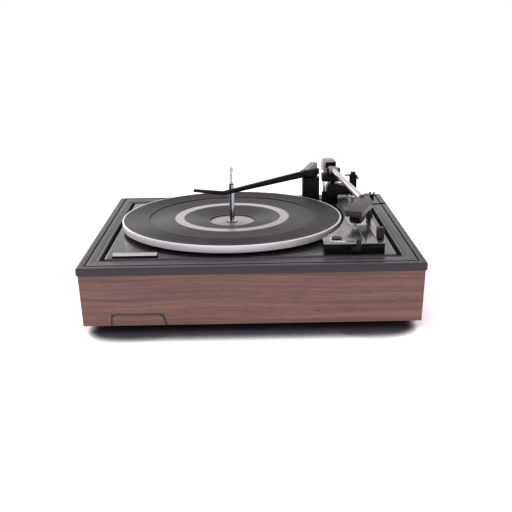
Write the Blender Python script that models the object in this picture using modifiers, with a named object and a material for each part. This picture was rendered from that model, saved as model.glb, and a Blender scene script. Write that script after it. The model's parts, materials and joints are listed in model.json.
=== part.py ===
"""Automatic record changer on a wooden plinth.

Metres, +Z up, +X to the right of the listener, +Y to the back. The origin is the centre of the
plinth's footprint on the surface that the feet stand on. Every piece is one closed solid, and a
moving piece hangs from an empty on its joint's axis.
"""

import math

import bmesh
import bpy
from mathutils import Matrix, Vector

# Clearances shared by all pieces
SEAT_GAP = 0.0003
RUN_GAP = 0.0003
CUT_OVERRUN = 0.002
MERGE_DISTANCE = 0.00001
FULL_TURN = math.tau
QUARTER_TURN = math.pi / 2
HALF = 0.5

# Roundness of turned pieces, in steps for a full turn
LARGE_STEPS = 52
TYRE_STEPS = 36
MEDIUM_STEPS = 24
SMALL_STEPS = 14
ROD_RESOLUTION = 2

# Heights of the stack, from the surface up
FOOT_HEIGHT = 0.009
BOARD_HEIGHT = 0.059
FRAME_HEIGHT = 0.009
BOARD_TOP_Z = FOOT_HEIGHT + BOARD_HEIGHT
FRAME_TOP_Z = BOARD_TOP_Z + FRAME_HEIGHT
DECK_TOP_Z = FRAME_TOP_Z

# Plinth of four mitred boards, the side ones leaning out towards the top
PLINTH_LENGTH = 0.3765
PLINTH_DEPTH = 0.337
BOARD_THICKNESS = 0.012
BOARD_LEAN = 0.0023
MITRE_GAP = 0.0005
BASE_BOARD_THICKNESS = 0.003
VENT_COUNT = 6
VENT_LENGTH = 0.060
VENT_WIDTH = 0.004
VENT_PITCH = 0.016
CORNER_BLOCK_SIDE = 0.028
FOOT_RADIUS = 0.012
FOOT_TAPER = 0.0015
FOOT_RECESS_RADIUS = 0.004
FOOT_RECESS_DEPTH = 0.003
FOOT_INSET_X = 0.0405
FOOT_INSET_Y = 0.0370
GROMMET_RADIUS = 0.006
GROMMET_FLANGE = 0.0015
GROMMET_BORE = 0.0032
GROMMET_X = 0.120
GROMMET_Z = 0.028

# Mounting board that carries the springs, with the opening for the mechanism
MOUNTING_BOARD_DROP = 0.018
MOUNTING_BOARD_THICKNESS = 0.010
MOUNTING_RIM = 0.027
MOUNTING_CORNER_RADIUS = 0.012

# Plastic surround
EDGE_SOFT_SHARE = 0.3
LIP_SHARES = (1.0, 0.85, 0.70, 0.50, 0.20, 0.0)
FRAME_OVERHANG = 0.0022
FRAME_CORNER_RADIUS = 0.0045
FRAME_INNER_RADIUS = 0.003
FRAME_BORDER_LEFT = 0.02175
FRAME_BORDER_RIGHT = 0.02375
FRAME_BORDER_FRONT = 0.0287
FRAME_BORDER_BACK = 0.0327
FRAME_EDGE_ROUND = 0.002
FRAME_GROOVE_INSET = 0.0078
FRAME_GROOVE_WIDTH = 0.0026
FRAME_GROOVE_DEPTH = 0.0020
FRAME_LIP_WIDTH = 0.0045
FRAME_LIP_STEP = 0.0007
FRAME_SKIRT_THICKNESS = 0.003

# Steel unit plate
DECK_GAP = 0.0045
DECK_THICKNESS = 0.0015
DECK_SKIRT = 0.012
DECK_CORNER_RADIUS = 0.005
DECK_EDGE_ROUND = 0.002

# Suspension springs under the unit plate
SPRING_EDGE_INSET = 0.0095
SPRING_Y = 0.095
SPRING_RADIUS = 0.0055
SPRING_WIRE_RADIUS = 0.0007
SPRING_TURNS = 4
SPRING_POINTS_PER_TURN = 8
SPRING_CUP_RADIUS = 0.0080
SPRING_CUP_HEIGHT = 0.0017
SPRING_PEG_RADIUS = 0.0040
SPRING_PEG_HEIGHT = 0.0060

# Platter, hub and mat
PLATTER_X = -0.024
PLATTER_Y = 0.0044
PLATTER_RADIUS = 0.1397
PLATTER_UNDER = 0.0040
PLATTER_RIM_HEIGHT = 0.0086
PLATTER_RIM_WALL = 0.0027
PLATTER_RIM_ROUND = 0.0008
PLATTER_PLATE_TOP = 0.0096
PLATTER_PLATE_THICKNESS = 0.0015
PLATTER_DISH_TOP = 0.0039
PLATTER_DISH_RADIUS = 0.0310
PLATTER_CONE_RADIUS = 0.0590
PLATTER_LIP_WIDTH = 0.0023
HUB_RADIUS = 0.020
HUB_BOTTOM = 0.0012
HUB_NECK_RADIUS = 0.0135
HUB_NECK_BOTTOM = 0.0045
MAT_EDGE_GAP = 0.0004
MAT_TOP = 0.0130
MAT_EDGE_ROUND = 0.0006
MAT_STEP_RADIUS = 0.1052
MAT_STEP_WIDTH = 0.0004
MAT_STEP_DEPTH = 0.0017
MAT_CONE_RADIUS = 0.0595
MAT_HOLE_RADIUS = 0.0288
MAT_HOLE_TOP = 0.0068
RING_INNER_RADIUS = 0.0614
RING_OUTER_RADIUS = 0.0727
RING_RISE = 0.0002
RING_THICKNESS = 0.0006
TRIM_RADIUS = 0.0284
TRIM_RIM_WIDTH = 0.0034
TRIM_HOLE_RADIUS = 0.0078
TRIM_THICKNESS = 0.0010
TRIM_DISH = 0.0003

# Bearing, its bridge and the spindle
SLEEVE_RADIUS = 0.0087
SLEEVE_TOP = 0.0038
BEARING_FLANGE_RADIUS = 0.0160
BEARING_FLANGE_THICKNESS = 0.0022
BEARING_FLANGE_DROP = 0.0110
BEARING_BOSS_RADIUS = 0.0060
BEARING_BOSS_LENGTH = 0.0060
BRIDGE_THICKNESS = 0.0025
BRIDGE_SPAN = 0.084
BRIDGE_FOOT = 0.014
BRIDGE_WIDTH = 0.022
BRIDGE_TURN = math.radians(30)
DECK_HUB_HOLE = 0.0240
SPINDLE_RADIUS = 0.0032
SPINDLE_BOTTOM = 0.0220
SPINDLE_COLLAR_RADIUS = 0.0060
SPINDLE_COLLAR_HEIGHT = 0.0016
SPINDLE_SHOULDER = 0.0530
SPINDLE_SHOULDER_CONE = 0.0015
SPINDLE_TIP_RADIUS = 0.0021
SPINDLE_END_SHARE = 0.6
SPINDLE_TOP = 0.0755
SPINDLE_LEAN_LEFT = 0.0008
SPINDLE_LEAN_RIGHT = 0.0006
SPINDLE_RISE_SHARES = (0.0, 0.30, 0.60, 0.85, 1.0)
SPINDLE_LEAN_SHARES = (0.0, -1.0, -0.9, 0.4, 1.0)
PUSHER_THICKNESS = 0.0014
PUSHER_DEPTH = 0.0034
PUSHER_HEIGHT = 0.0070
PUSHER_TRAVEL = 0.0015

# Pinion on the hub and the change-cycle cam wheel
PINION_ROOT_RADIUS = 0.0112
PINION_TOOTH = 0.0018
PINION_TEETH = 12
GEAR_TOP_DROP = 0.0050
PINION_HEIGHT = 0.0057
CAM_TOOTH = 0.0018
CAM_TEETH = 46
CAM_HEIGHT = 0.0045
CAM_TEETH_CLEARANCE = 0.0006
CAM_DIRECTION = math.radians(-60)
CAM_HOLE_RADIUS = 0.0043
CAM_BOSS_RADIUS = 0.0090
CAM_BOSS_HEIGHT = 0.0030
CAM_TRACK_INNER = 0.0220
CAM_TRACK_OUTER = 0.0270
CAM_TRACK_DEPTH = 0.0020
STUD_CLIP_RADIUS = 0.0065
STUD_CLIP_HEIGHT = 0.0012

# Idler, its arm and the motor
RIM_DRIVE_GAP = 0.0004
IDLER_RADIUS = 0.0220
IDLER_BOTTOM = 0.0050
IDLER_HEIGHT = 0.0028
IDLER_TYRE = 0.0030
IDLER_SHAFT_RADIUS = 0.0020
IDLER_HUB_RADIUS = 0.0040
IDLER_DIRECTION = math.radians(230)
PULLEY_DIRECTION = math.radians(-20)
PULLEY_STEP_RADII = (0.0063, 0.0036, 0.0027)
PULLEY_STEP_TOPS = (0.0025, 0.0045, 0.0077)
PULLEY_BOTTOM = 0.0006
PULLEY_HOLE_RADIUS = 0.0080
IDLER_SLOT_LENGTH = 0.0150
IDLER_SLOT_WIDTH = 0.0090
IDLER_SLOT_ROUND = 0.0040
IDLER_ARM_LENGTH = 0.0450
IDLER_ARM_DIRECTION = math.radians(7)
IDLER_ARM_TOP_DROP = 0.0042
IDLER_ARM_THICKNESS = 0.0020
IDLER_ARM_WIDTH = 0.0090
IDLER_ARM_TRAVEL = math.radians(4)
MOTOR_DROP = 0.0140
MOTOR_CORE_LENGTH = 0.0640
MOTOR_CORE_DEPTH = 0.0540
MOTOR_CORE_HEIGHT = 0.0220
MOTOR_CORE_ROUND = 0.0040
ROTOR_RADIUS = 0.0150
ROTOR_OVERHANG = 0.0015
AIR_GAP = 0.0006
MOTOR_SHAFT_RADIUS = 0.0016
MOTOR_SHAFT_TAIL = 0.0060
COIL_OVERHANG = 0.0060
COIL_LENGTH = 0.0360
COIL_WIDTH = 0.0170
MOTOR_STUD_RADIUS = 0.0025
MOTOR_STUD_INSET = 0.0042

# Control island at the front right
PANEL_TOP = 0.0120
PANEL_PLATE_THICKNESS = 0.0012
PANEL_PLATE_OVERHANG = 0.0008
PANEL_FRONT_Y = -0.1312
PANEL_REAR_Y = 0.1290
PANEL_RIGHT_X = 0.1520
PANEL_ARC_SHIFT = 0.0581
PANEL_ARC_RISE = 0.0056
PANEL_ARC_RADIUS = 0.2010
PANEL_ARC_START_Y = -0.1059
PANEL_ARC_END_Y = 0.0500
PANEL_ARC_POINTS = 16
PANEL_TAIL_X = 0.1275
CHANNEL_LEFT_X = 0.1290
CHANNEL_RIGHT_X = 0.1430
CHANNEL_BACK_Y = -0.0450
RIB_WIDTH = 0.0010
RIB_HEIGHT = 0.0010
SPEED_KNOB_X = 0.0985
SPEED_KNOB_Y = -0.1093
SPEED_KNOB_RADIUS = 0.0061
SPEED_KNOB_HEIGHT = 0.0008
SPEED_KNOB_ROUND = 0.0002
SPEED_KNOB_SLOT = 0.0012
SPEED_KNOB_SLOT_LENGTH = 0.0098
SPEED_KNOB_SLOT_DEPTH = 0.0004
SPEED_SHAFT_RADIUS = 0.0020
SPEED_SHAFT_DEPTH = 0.0070
FUNCTION_X = 0.1480
FUNCTION_Y = -0.1140
FUNCTION_WIDTH = 0.0080
FUNCTION_DEPTH = 0.0100
FUNCTION_HEIGHT = 0.0135
FUNCTION_ROUND = 0.0006
FUNCTION_TRAVEL = 0.0160
FUNCTION_STEM_WIDTH = 0.0022
FUNCTION_STEM_LENGTH = 0.0060
FUNCTION_STEM_DEPTH = 0.0080
SIZE_LEVER_X = 0.1155
SIZE_LEVER_Z = 0.0053
SIZE_LEVER_THICKNESS = 0.0026
SIZE_LEVER_FRONT_GAP = 0.0010
SIZE_LEVER_WIDTH = 0.0056
SIZE_LEVER_REACH = 0.0055
SIZE_LEVER_RISE = 0.0117
SIZE_LEVER_HUB_RADIUS = 0.0030
SIZE_LEVER_FOOT = 0.0024
SIZE_LEVER_ROUND = 0.0010
SIZE_SHAFT_RADIUS = 0.0018
SIZE_SHAFT_DEPTH = 0.0060

# Badge at the front left, left blank
BADGE_INSET_X = 0.0085
BADGE_INSET_Y = 0.0035
BADGE_LENGTH = 0.0520
BADGE_DEPTH = 0.0078
BADGE_RISE = 0.0036
BADGE_FRONT_RISE = 0.0010
BADGE_BACKING_BORDER = 0.0009
BADGE_PLATE_THICKNESS = 0.0007

# Overarm on its post
OVERARM_POST_X = 0.0850
OVERARM_POST_Y = 0.1160
OVERARM_POST_SIDE = 0.0240
OVERARM_POST_ROUND = 0.0050
OVERARM_POST_HEIGHT = 0.0386
OVERARM_POST_FLOOR = 0.0014
OVERARM_SHAFT_RADIUS = 0.0050
OVERARM_FLANGE_RADIUS = 0.0090
OVERARM_FLANGE_HEIGHT = 0.0012
OVERARM_PIN_RADIUS = 0.0030
OVERARM_PIN_HEIGHT = 0.0066
OVERARM_TOP = 0.0495
OVERARM_ROOT_TAIL = 0.0120
OVERARM_ROOT_WIDTH = 0.0170
OVERARM_TAIL_WIDTH = 0.0130
OVERARM_SHOULDER = 0.0200
OVERARM_BEND_X = -0.0340
OVERARM_BEND_Y = -0.0183
OVERARM_TIP_X = -0.0715
OVERARM_TIP_Y = 0.0030
OVERARM_BLADE_WIDTH = 0.0062
OVERARM_TIP_WIDTH = 0.0046
OVERARM_DEPTH_AT_SHOULDER = 0.0090
OVERARM_DEPTH_AT_BEND = 0.0047
OVERARM_DEPTH_AT_TIP = 0.0038
OVERARM_TIP_DROP = 0.0012
OVERARM_EDGE_ROUND = 0.0009
CAP_LENGTH = 0.0230
CAP_WIDTH = 0.0090
CAP_HEIGHT = 0.0085
CAP_TAIL = 0.0105
CAP_LENGTH_SHARES = (0.0, 1.0, 1.0, 0.94, 0.80, 0.40, 0.0)
CAP_HEIGHT_SHARES = (0.0, 0.0, 0.80, 0.97, 1.0, 0.60, 0.10)

# Tonearm pivot
PIVOT_X = 0.1170
PIVOT_Y = 0.1220
ARM_AXIS_Z = 0.0460
ARM_HEADING = math.radians(9.4)
ARM_SLOPE = math.radians(3.8)
PEDESTAL_BASE_LEFT = 0.0125
PEDESTAL_BASE_RIGHT = 0.0062
PEDESTAL_BASE_FRONT = 0.0100
PEDESTAL_BASE_BACK = 0.0090
PEDESTAL_LEFT = 0.0100
PEDESTAL_RIGHT = 0.0225
PEDESTAL_TOP = 0.0286
PEDESTAL_END_TOP = 0.0235
PEDESTAL_DOME_RADIUS = 0.0090
PEDESTAL_DOME_POINTS = 6
PEDESTAL_DEPTH = 0.0200
PIVOT_SHAFT_RADIUS = 0.0025
PIVOT_SHAFT_BOTTOM = 0.0150
CARRIAGE_LEFT = 0.0160
CARRIAGE_RIGHT = 0.0130
CARRIAGE_HALF_DEPTH = 0.0090
CARRIAGE_BOTTOM = 0.0312
CARRIAGE_TOP = 0.0400
CARRIAGE_SHOULDER_TOP = 0.0416
CARRIAGE_SHOULDER_WIDTH = 0.0060
CARRIAGE_ROUND = 0.0010
LUG_INNER = 0.0070
LUG_THICKNESS = 0.0028
LUG_RADIUS = 0.0036
LUG_POINTS = 8
SADDLE_RADIUS = 0.0053
SADDLE_HALF_WIDTH = 0.0065
SADDLE_EDGE = 0.0010
PIVOT_PIN_RADIUS = 0.0014
PIVOT_PIN_REACH = 0.0024
CUE_PIN_X = 0.1040
CUE_PIN_RADIUS = 0.0017
CUE_PIN_TOP = 0.0296
CUE_PIN_TRAVEL = 0.0010
CUE_PIN_SINK = 0.0060
CUE_SLEEVE_RADIUS = 0.0030
CUE_SLEEVE_TOP = 0.0165
CUE_PIN_Y_SHIFT = -0.0050

# Tube, headshell, cartridge and stylus
TUBE_RADIUS = 0.00375
TUBE_WALL = 0.0010
TUBE_HEAD_RADIUS = 0.0046
TUBE_TAPER_START = 0.0120
TUBE_TAIL = 0.0300
TUBE_LENGTH = 0.1380
SHELL_TURN = math.radians(25.3)
SHELL_FRONT = 0.0588
SHELL_LEFT = -0.0040
SHELL_RIGHT = 0.0194
SHELL_FRONT_LEFT = -0.0016
SHELL_NOTCH_FORWARD = 0.0143
SHELL_NOTCH_REAR = -0.0060
SHELL_NOTCH_RIGHT = 0.0081
SHELL_HEIGHT = 0.0080
SHELL_WALL = 0.0014
SHELL_TOP_RISE = 0.0016
SHELL_REAR = -0.0020
SHELL_EDGE_ROUND = 0.0006
SHELL_SOCKET_LENGTH = 0.0130
CARTRIDGE_BACK = 0.0310
CARTRIDGE_LENGTH = 0.0240
CARTRIDGE_LEFT = 0.0025
CARTRIDGE_WIDTH = 0.0130
CARTRIDGE_HEIGHT = 0.0160
CARTRIDGE_NOSE = 0.0040
STYLUS_WIDTH = 0.0060
STYLUS_LENGTH = 0.0130
STYLUS_HEIGHT = 0.0022
STYLUS_TIP_RADIUS = 0.0006
STYLUS_TIP_LENGTH = 0.0016
CARTRIDGE_PIN_RADIUS = 0.0006
CARTRIDGE_PIN_LENGTH = 0.0040
CARTRIDGE_PIN_PITCH = 0.0028
CARTRIDGE_PIN_COUNT = 4
FINGER_LENGTH = 0.0150
FINGER_RADIUS = 0.0009
FINGER_BACK = 0.0160
FINGER_DROP = 0.0030
FINGER_TIP_RISE = 0.0010
COUNTERWEIGHT_START = 0.0160
COUNTERWEIGHT_LENGTH = 0.0220
COUNTERWEIGHT_SIDE = 0.0192
COUNTERWEIGHT_SHIFT = 0.0010
COUNTERWEIGHT_ROUND = 0.0045
COUNTERWEIGHT_RECESS_SIDE = 0.0142
COUNTERWEIGHT_RECESS_DEPTH = 0.0040
COUNTERWEIGHT_TRAVEL = 0.0060

# Arm rest and its locking clip
REST_X = 0.1470
REST_Y = -0.0270
REST_SIDE = 0.0065
REST_ROUND = 0.0008
REST_TOP = 0.0290
CLIP_POST_X = 0.1615
CLIP_POST_Y = 0.0450
CLIP_POST_RADIUS = 0.0016
CLIP_POST_FOOT_RADIUS = 0.0021
CLIP_COLLAR_RADIUS = 0.0030
CLIP_COLLAR_TOP = 0.0235
CLIP_COLLAR_HEIGHT = 0.0024
FORK_BOTTOM = 0.0225
FORK_TOP = 0.0310
FORK_WIDTH = 0.0078
FORK_DEPTH = 0.0028
FORK_SHARES = ((-0.55, 0.0), (0.45, 0.0), (1.0, 1.0), (0.55, 1.0), (0.0, 0.40), (-0.25, 0.90),
               (-0.35, 1.0), (-1.0, 1.0), (-1.0, 0.55))
CLIP_PIN_RADIUS = 0.0007
CLIP_PIN_DROP = 0.0020
CLIP_PIN_SHIFT = 0.0026
CLIP_PIN_SINK = 0.0019
CLIP_LENGTH = 0.0085
CLIP_HEIGHT = 0.0018
CLIP_THICKNESS = 0.0016

# Cue lever on its bracket and the numbered dial
BRACKET_LEFT_X = 0.1400
BRACKET_WIDTH = 0.0100
BRACKET_FRONT_Y = 0.1130
BRACKET_DEPTH = 0.0080
BRACKET_TOP = 0.0410
BRACKET_ARM_REACH = 0.0065
BRACKET_ARM_DEPTH = 0.0050
BRACKET_ARM_THICKNESS = 0.0018
BRACKET_KNOB_RADIUS = 0.0036
BRACKET_KNOB_HEIGHT = 0.0032
CUE_LEVER_Z = 0.0370
CUE_LEVER_RADIUS = 0.0030
CUE_LEVER_THICKNESS = 0.0022
CUE_LEVER_LENGTH = 0.0110
CUE_LEVER_WIDTH = 0.0030
CUE_LEVER_PIN_RADIUS = 0.0012
CUE_LEVER_RANGE = math.radians(40)
DIAL_X = 0.1425
DIAL_Y = 0.1000
DIAL_RADIUS = 0.0080
DIAL_HEIGHT = 0.0030
DIAL_KNURLS = 16
DIAL_KNURL_DEPTH = 0.0005
DIAL_STEM_RADIUS = 0.0020
DIAL_STEM_DEPTH = 0.0060

# Values worked out from the sizes above
FRAME_LENGTH = PLINTH_LENGTH + 2 * (BOARD_LEAN + FRAME_OVERHANG)
FRAME_DEPTH = PLINTH_DEPTH + 2 * FRAME_OVERHANG
OPENING_LEFT_X = FRAME_BORDER_LEFT - FRAME_LENGTH / 2
OPENING_RIGHT_X = FRAME_LENGTH / 2 - FRAME_BORDER_RIGHT
OPENING_FRONT_Y = FRAME_BORDER_FRONT - FRAME_DEPTH / 2
OPENING_BACK_Y = FRAME_DEPTH / 2 - FRAME_BORDER_BACK
DECK_BOUNDS = (OPENING_LEFT_X + DECK_GAP, OPENING_RIGHT_X - DECK_GAP,
               OPENING_FRONT_Y + DECK_GAP, OPENING_BACK_Y - DECK_GAP)
DECK_UNDER_Z = DECK_TOP_Z - DECK_THICKNESS
MOUNTING_TOP_Z = FRAME_TOP_Z - MOUNTING_BOARD_DROP
MOUNTING_BOTTOM_Z = MOUNTING_TOP_Z - MOUNTING_BOARD_THICKNESS
PLATTER_CENTRE = Vector((PLATTER_X, PLATTER_Y, DECK_TOP_Z))
CAM_ROOT_RADIUS = ((PINION_ROOT_RADIUS + PINION_TOOTH / 2) * CAM_TEETH / PINION_TEETH
                   - CAM_TOOTH / 2)
CAM_DISTANCE = (PINION_ROOT_RADIUS + PINION_TOOTH + CAM_ROOT_RADIUS + CAM_TOOTH
                + CAM_TEETH_CLEARANCE)
RIM_INNER_RADIUS = PLATTER_RADIUS - PLATTER_RIM_WALL
IDLER_DISTANCE = RIM_INNER_RADIUS - RIM_DRIVE_GAP - IDLER_RADIUS
PULLEY_DISTANCE = IDLER_RADIUS + RIM_DRIVE_GAP + PULLEY_STEP_RADII[-1]
SPRING_CUP_TOP_Z = MOUNTING_TOP_Z + SPRING_CUP_HEIGHT
SPRING_PEG_TOP_Z = SPRING_CUP_TOP_Z + SPRING_PEG_HEIGHT
PANEL_TOP_Z = DECK_TOP_Z + PANEL_TOP
PIVOT = Vector((PIVOT_X, PIVOT_Y, DECK_TOP_Z + ARM_AXIS_Z))


def polar(centre, distance, direction):
    """The point at this distance and direction, in the plane of the deck, from centre."""
    return centre + distance * Vector((math.cos(direction), math.sin(direction), 0))


CAM_CENTRE = polar(PLATTER_CENTRE, CAM_DISTANCE, CAM_DIRECTION)
IDLER_CENTRE = polar(PLATTER_CENTRE, IDLER_DISTANCE, IDLER_DIRECTION)
PULLEY_CENTRE = polar(IDLER_CENTRE, PULLEY_DISTANCE, PULLEY_DIRECTION)
IDLER_PIVOT = polar(IDLER_CENTRE, IDLER_ARM_LENGTH, IDLER_ARM_DIRECTION)
ARM_FORWARD = Vector((math.sin(ARM_HEADING) * math.cos(ARM_SLOPE),
                      -math.cos(ARM_HEADING) * math.cos(ARM_SLOPE), -math.sin(ARM_SLOPE)))
ARM_RIGHT = Vector((math.cos(ARM_HEADING), math.sin(ARM_HEADING), 0))


CORNERS = {(-1, -1): "front_left", (1, -1): "front_right", (-1, 1): "back_left", (1, 1): "back_right"}


def spring_places():
    """The four places (x, y) where the unit plate stands on a spring."""
    left, right = DECK_BOUNDS[0] + SPRING_EDGE_INSET, DECK_BOUNDS[1] - SPRING_EDGE_INSET
    return [(left if side_x < 0 else right, side_y * SPRING_Y) for side_x, side_y in CORNERS]


def clear_scene():
    """Remove every object, so that the script starts from an empty scene."""
    for item in list(bpy.data.objects):
        bpy.data.objects.remove(item, do_unlink=True)


def new_collection(name):
    collection = bpy.data.collections.new(name)
    bpy.context.scene.collection.children.link(collection)
    return collection


clear_scene()
PARTS = new_collection("record_changer")
CUTTERS = new_collection("record_changer_cutters")
CUTTERS.hide_render = True


def finish(name, colour, roughness, metallic):
    """A Principled material."""
    made = bpy.data.materials.new(name)
    made.use_nodes = True
    shader = made.node_tree.nodes["Principled BSDF"]
    shader.inputs["Base Color"].default_value = (*colour, 1.0)
    shader.inputs["Roughness"].default_value = roughness
    shader.inputs["Metallic"].default_value = metallic
    return made


# Colour, roughness and metallic value of each finish
FINISHES = {
    "walnut": ((0.25, 0.125, 0.085), 0.45, 0.0),
    "hardboard": ((0.16, 0.09, 0.05), 0.8, 0.0),
    "chipboard": ((0.45, 0.33, 0.20), 0.85, 0.0),
    "frame_plastic": ((0.06, 0.058, 0.06), 0.40, 0.0),
    "black_plastic": ((0.012, 0.012, 0.013), 0.35, 0.0),
    "black_paint": ((0.02, 0.02, 0.021), 0.28, 0.0),
    "mat_rubber": ((0.045, 0.043, 0.045), 0.60, 0.0),
    "foot_rubber": ((0.02, 0.02, 0.02), 0.80, 0.0),
    "platter_metal": ((0.72, 0.72, 0.74), 0.28, 1.0),
    "panel_metal": ((0.60, 0.58, 0.56), 0.30, 1.0),
    "bright_steel": ((0.70, 0.70, 0.71), 0.22, 1.0),
    "grey_plastic": ((0.30, 0.28, 0.28), 0.45, 0.0),
    "shell_plastic": ((0.10, 0.10, 0.10), 0.50, 0.0),
    "zinc": ((0.50, 0.50, 0.48), 0.45, 1.0),
    "copper": ((0.45, 0.20, 0.10), 0.40, 0.6),
    "brass": ((0.60, 0.45, 0.18), 0.35, 1.0),
}
MATERIALS = {name: finish(name, *values) for name, values in FINISHES.items()}


def dress(item, material, smooth_angle=None):
    """Give an object its material and, where it is round, smooth shading with sharp edges."""
    item.data.materials.clear()
    item.data.materials.append(MATERIALS[material])
    if smooth_angle is not None and isinstance(item.data, bpy.types.Mesh):
        item.data.shade_smooth()
        item.data.set_sharp_from_angle(angle=smooth_angle)
    return item


def place(item, collection=None):
    (collection or PARTS).objects.link(item)
    return item


def from_bmesh(name, mesh_data, material, collection=None):
    """An object from a bmesh whose coordinates are already in the part's frame."""
    bmesh.ops.recalc_face_normals(mesh_data, faces=mesh_data.faces)
    mesh = bpy.data.meshes.new(name)
    mesh_data.to_mesh(mesh)
    mesh_data.free()
    return dress(place(bpy.data.objects.new(name, mesh), collection), material)


def block(name, low, high, material, rounding=0.0, segments=2, collection=None):
    """A box between two corners, with rounded edges where rounding is not zero."""
    low, high = Vector(low), Vector(high)
    shape = bmesh.new()
    bmesh.ops.create_cube(shape, size=1.0)
    bmesh.ops.scale(shape, vec=high - low, verts=shape.verts)
    bmesh.ops.translate(shape, vec=(low + high) * HALF, verts=shape.verts)
    if rounding:
        bmesh.ops.bevel(shape, geom=shape.edges[:], offset=rounding, segments=segments,
                        affect="EDGES", profile=0.5, material=-1)
    return from_bmesh(name, shape, material, collection)


def turned(name, profile, centre, material, steps=MEDIUM_STEPS, closed=False, turn=None,
           collection=None):
    """A profile of (radius, height) pairs, from the top down its outer side, turned about Z."""
    mesh = bpy.data.meshes.new(name)
    points = [(radius, 0.0, height) for radius, height in profile]
    edges = [(i, i + 1) for i in range(len(points) - 1)]
    if closed:
        edges.append((len(points) - 1, 0))
    mesh.from_pydata(points, edges, [])
    item = place(bpy.data.objects.new(name, mesh), collection)
    dress(item, material)
    item.matrix_basis = Matrix.Translation(centre) @ (turn or Matrix.Identity(4))
    screw = item.modifiers.new("Turn", "SCREW")
    screw.angle = FULL_TURN
    screw.steps = steps
    screw.render_steps = steps
    screw.use_merge_vertices = True
    screw.merge_threshold = MERGE_DISTANCE
    screw.use_smooth_shade = True
    return item


def disc_profile(radius, bottom, top):
    return [(0.0, top), (radius, top), (radius, bottom), (0.0, bottom)]


def tube_profile(inner, outer, bottom, top):
    return [(outer, top), (outer, bottom), (inner, bottom), (inner, top)]


def mesh_from_curve(name, curve_object, material, collection=None):
    """Turn a curve object into a closed mesh object in the same place."""
    bpy.context.view_layer.update()
    graph = bpy.context.evaluated_depsgraph_get()
    mesh = bpy.data.meshes.new_from_object(curve_object.evaluated_get(graph))
    welded = bmesh.new()
    welded.from_mesh(mesh)
    bmesh.ops.remove_doubles(welded, verts=welded.verts, dist=MERGE_DISTANCE)
    bmesh.ops.recalc_face_normals(welded, faces=welded.faces)
    welded.to_mesh(mesh)
    welded.free()
    item = bpy.data.objects.new(name, mesh)
    item.matrix_basis = curve_object.matrix_basis.copy()
    bpy.data.objects.remove(curve_object, do_unlink=True)
    return dress(place(item, collection), material)


def outline(name, loops, bottom, top, material, turn=None, collection=None):
    """A flat outline, with any holes in it, from bottom to top; turn places it in the part."""
    curve = bpy.data.curves.new(name, "CURVE")
    curve.dimensions = "2D"
    curve.fill_mode = "BOTH"
    curve.extrude = (top - bottom) * HALF
    curve.render_resolution_u = 0
    for loop in loops:
        spline = curve.splines.new("POLY")
        spline.points.add(len(loop) - 1)
        for point, (x, y) in zip(spline.points, loop):
            point.co = (x, y, 0.0, 1.0)
        spline.use_cyclic_u = True
    item = place(bpy.data.objects.new(name + "_outline", curve))
    lift = Matrix.Translation((0, 0, (top + bottom) * HALF))
    item.matrix_basis = (turn or Matrix.Identity(4)) @ lift
    return mesh_from_curve(name, item, material, collection)


def rod(name, points, radius, material, resolution=ROD_RESOLUTION, radii=None, collection=None):
    """A round rod or wire along points, with filled ends."""
    curve = bpy.data.curves.new(name, "CURVE")
    curve.dimensions = "3D"
    curve.bevel_depth = radius
    curve.bevel_resolution = resolution
    curve.use_fill_caps = True
    curve.render_resolution_u = 0
    spline = curve.splines.new("POLY")
    spline.points.add(len(points) - 1)
    for index, point in enumerate(points):
        spline.points[index].co = (*point, 1.0)
        spline.points[index].radius = radii[index] if radii else 1.0
    item = place(bpy.data.objects.new(name + "_line", curve))
    return mesh_from_curve(name, item, material, collection)


def hide_as_cutter(item):
    if item.name not in CUTTERS.objects:
        CUTTERS.objects.link(item)
    if item.name in PARTS.objects:
        PARTS.objects.unlink(item)
    item.hide_render = True
    item.display_type = "WIRE"
    return item


def boolean(item, other, operation):
    hide_as_cutter(other)
    modifier = item.modifiers.new(operation.title(), "BOOLEAN")
    modifier.operation = operation
    modifier.solver = "EXACT"
    modifier.object = other
    return item


def cut(item, *cutters):
    for cutter in cutters:
        boolean(item, cutter, "DIFFERENCE")
    return item


def fuse(item, *others):
    for other in others:
        boolean(item, other, "UNION")
    return item


def hang(axis_name, location, *items):
    """Parent pieces to an empty on their joint's axis, and leave them where they are."""
    empty = place(bpy.data.objects.new(axis_name, None))
    empty.location = location
    for item in items:
        item.parent = empty
        item.matrix_parent_inverse = Matrix.Translation(-Vector(location))
    return empty


def rounded_rectangle(bounds, radius, points_per_corner=4):
    """The outline of a rectangle (left, right, front, back) with round corners."""
    left, right, front, back = bounds
    corners = ((right - radius, front + radius, -1), (right - radius, back - radius, 0),
               (left + radius, back - radius, 1), (left + radius, front + radius, 2))
    outline_points = []
    for x, y, quarter in corners:
        for step in range(points_per_corner + 1):
            angle = QUARTER_TURN * (quarter + step / points_per_corner)
            outline_points.append((x + radius * math.cos(angle), y + radius * math.sin(angle)))
    return outline_points


def inset(bounds, distance):
    left, right, front, back = bounds
    return (left + distance, right - distance, front + distance, back - distance)


def loft(name, rings, material, closed=False, caps=True, collection=None):
    """Bridge rings of equally many points; closed joins the last ring to the first."""
    shape = bmesh.new()
    made = [[shape.verts.new(point) for point in ring] for ring in rings]
    pairs = list(zip(made, made[1:]))
    if closed:
        pairs.append((made[-1], made[0]))
    for lower, upper in pairs:
        count = len(lower)
        for i in range(count):
            following = (i + 1) % count
            shape.faces.new((lower[i], lower[following], upper[following], upper[i]))
    if caps and not closed:
        shape.faces.new(made[0])
        shape.faces.new(made[-1])
    return from_bmesh(name, shape, material, collection)


def ring_at(points, height):
    return [(x, y, height) for x, y in points]


def circle_points(centre, radius, count):
    return [(centre[0] + radius * math.cos(FULL_TURN * i / count),
             centre[1] + radius * math.sin(FULL_TURN * i / count)) for i in range(count)]


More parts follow.
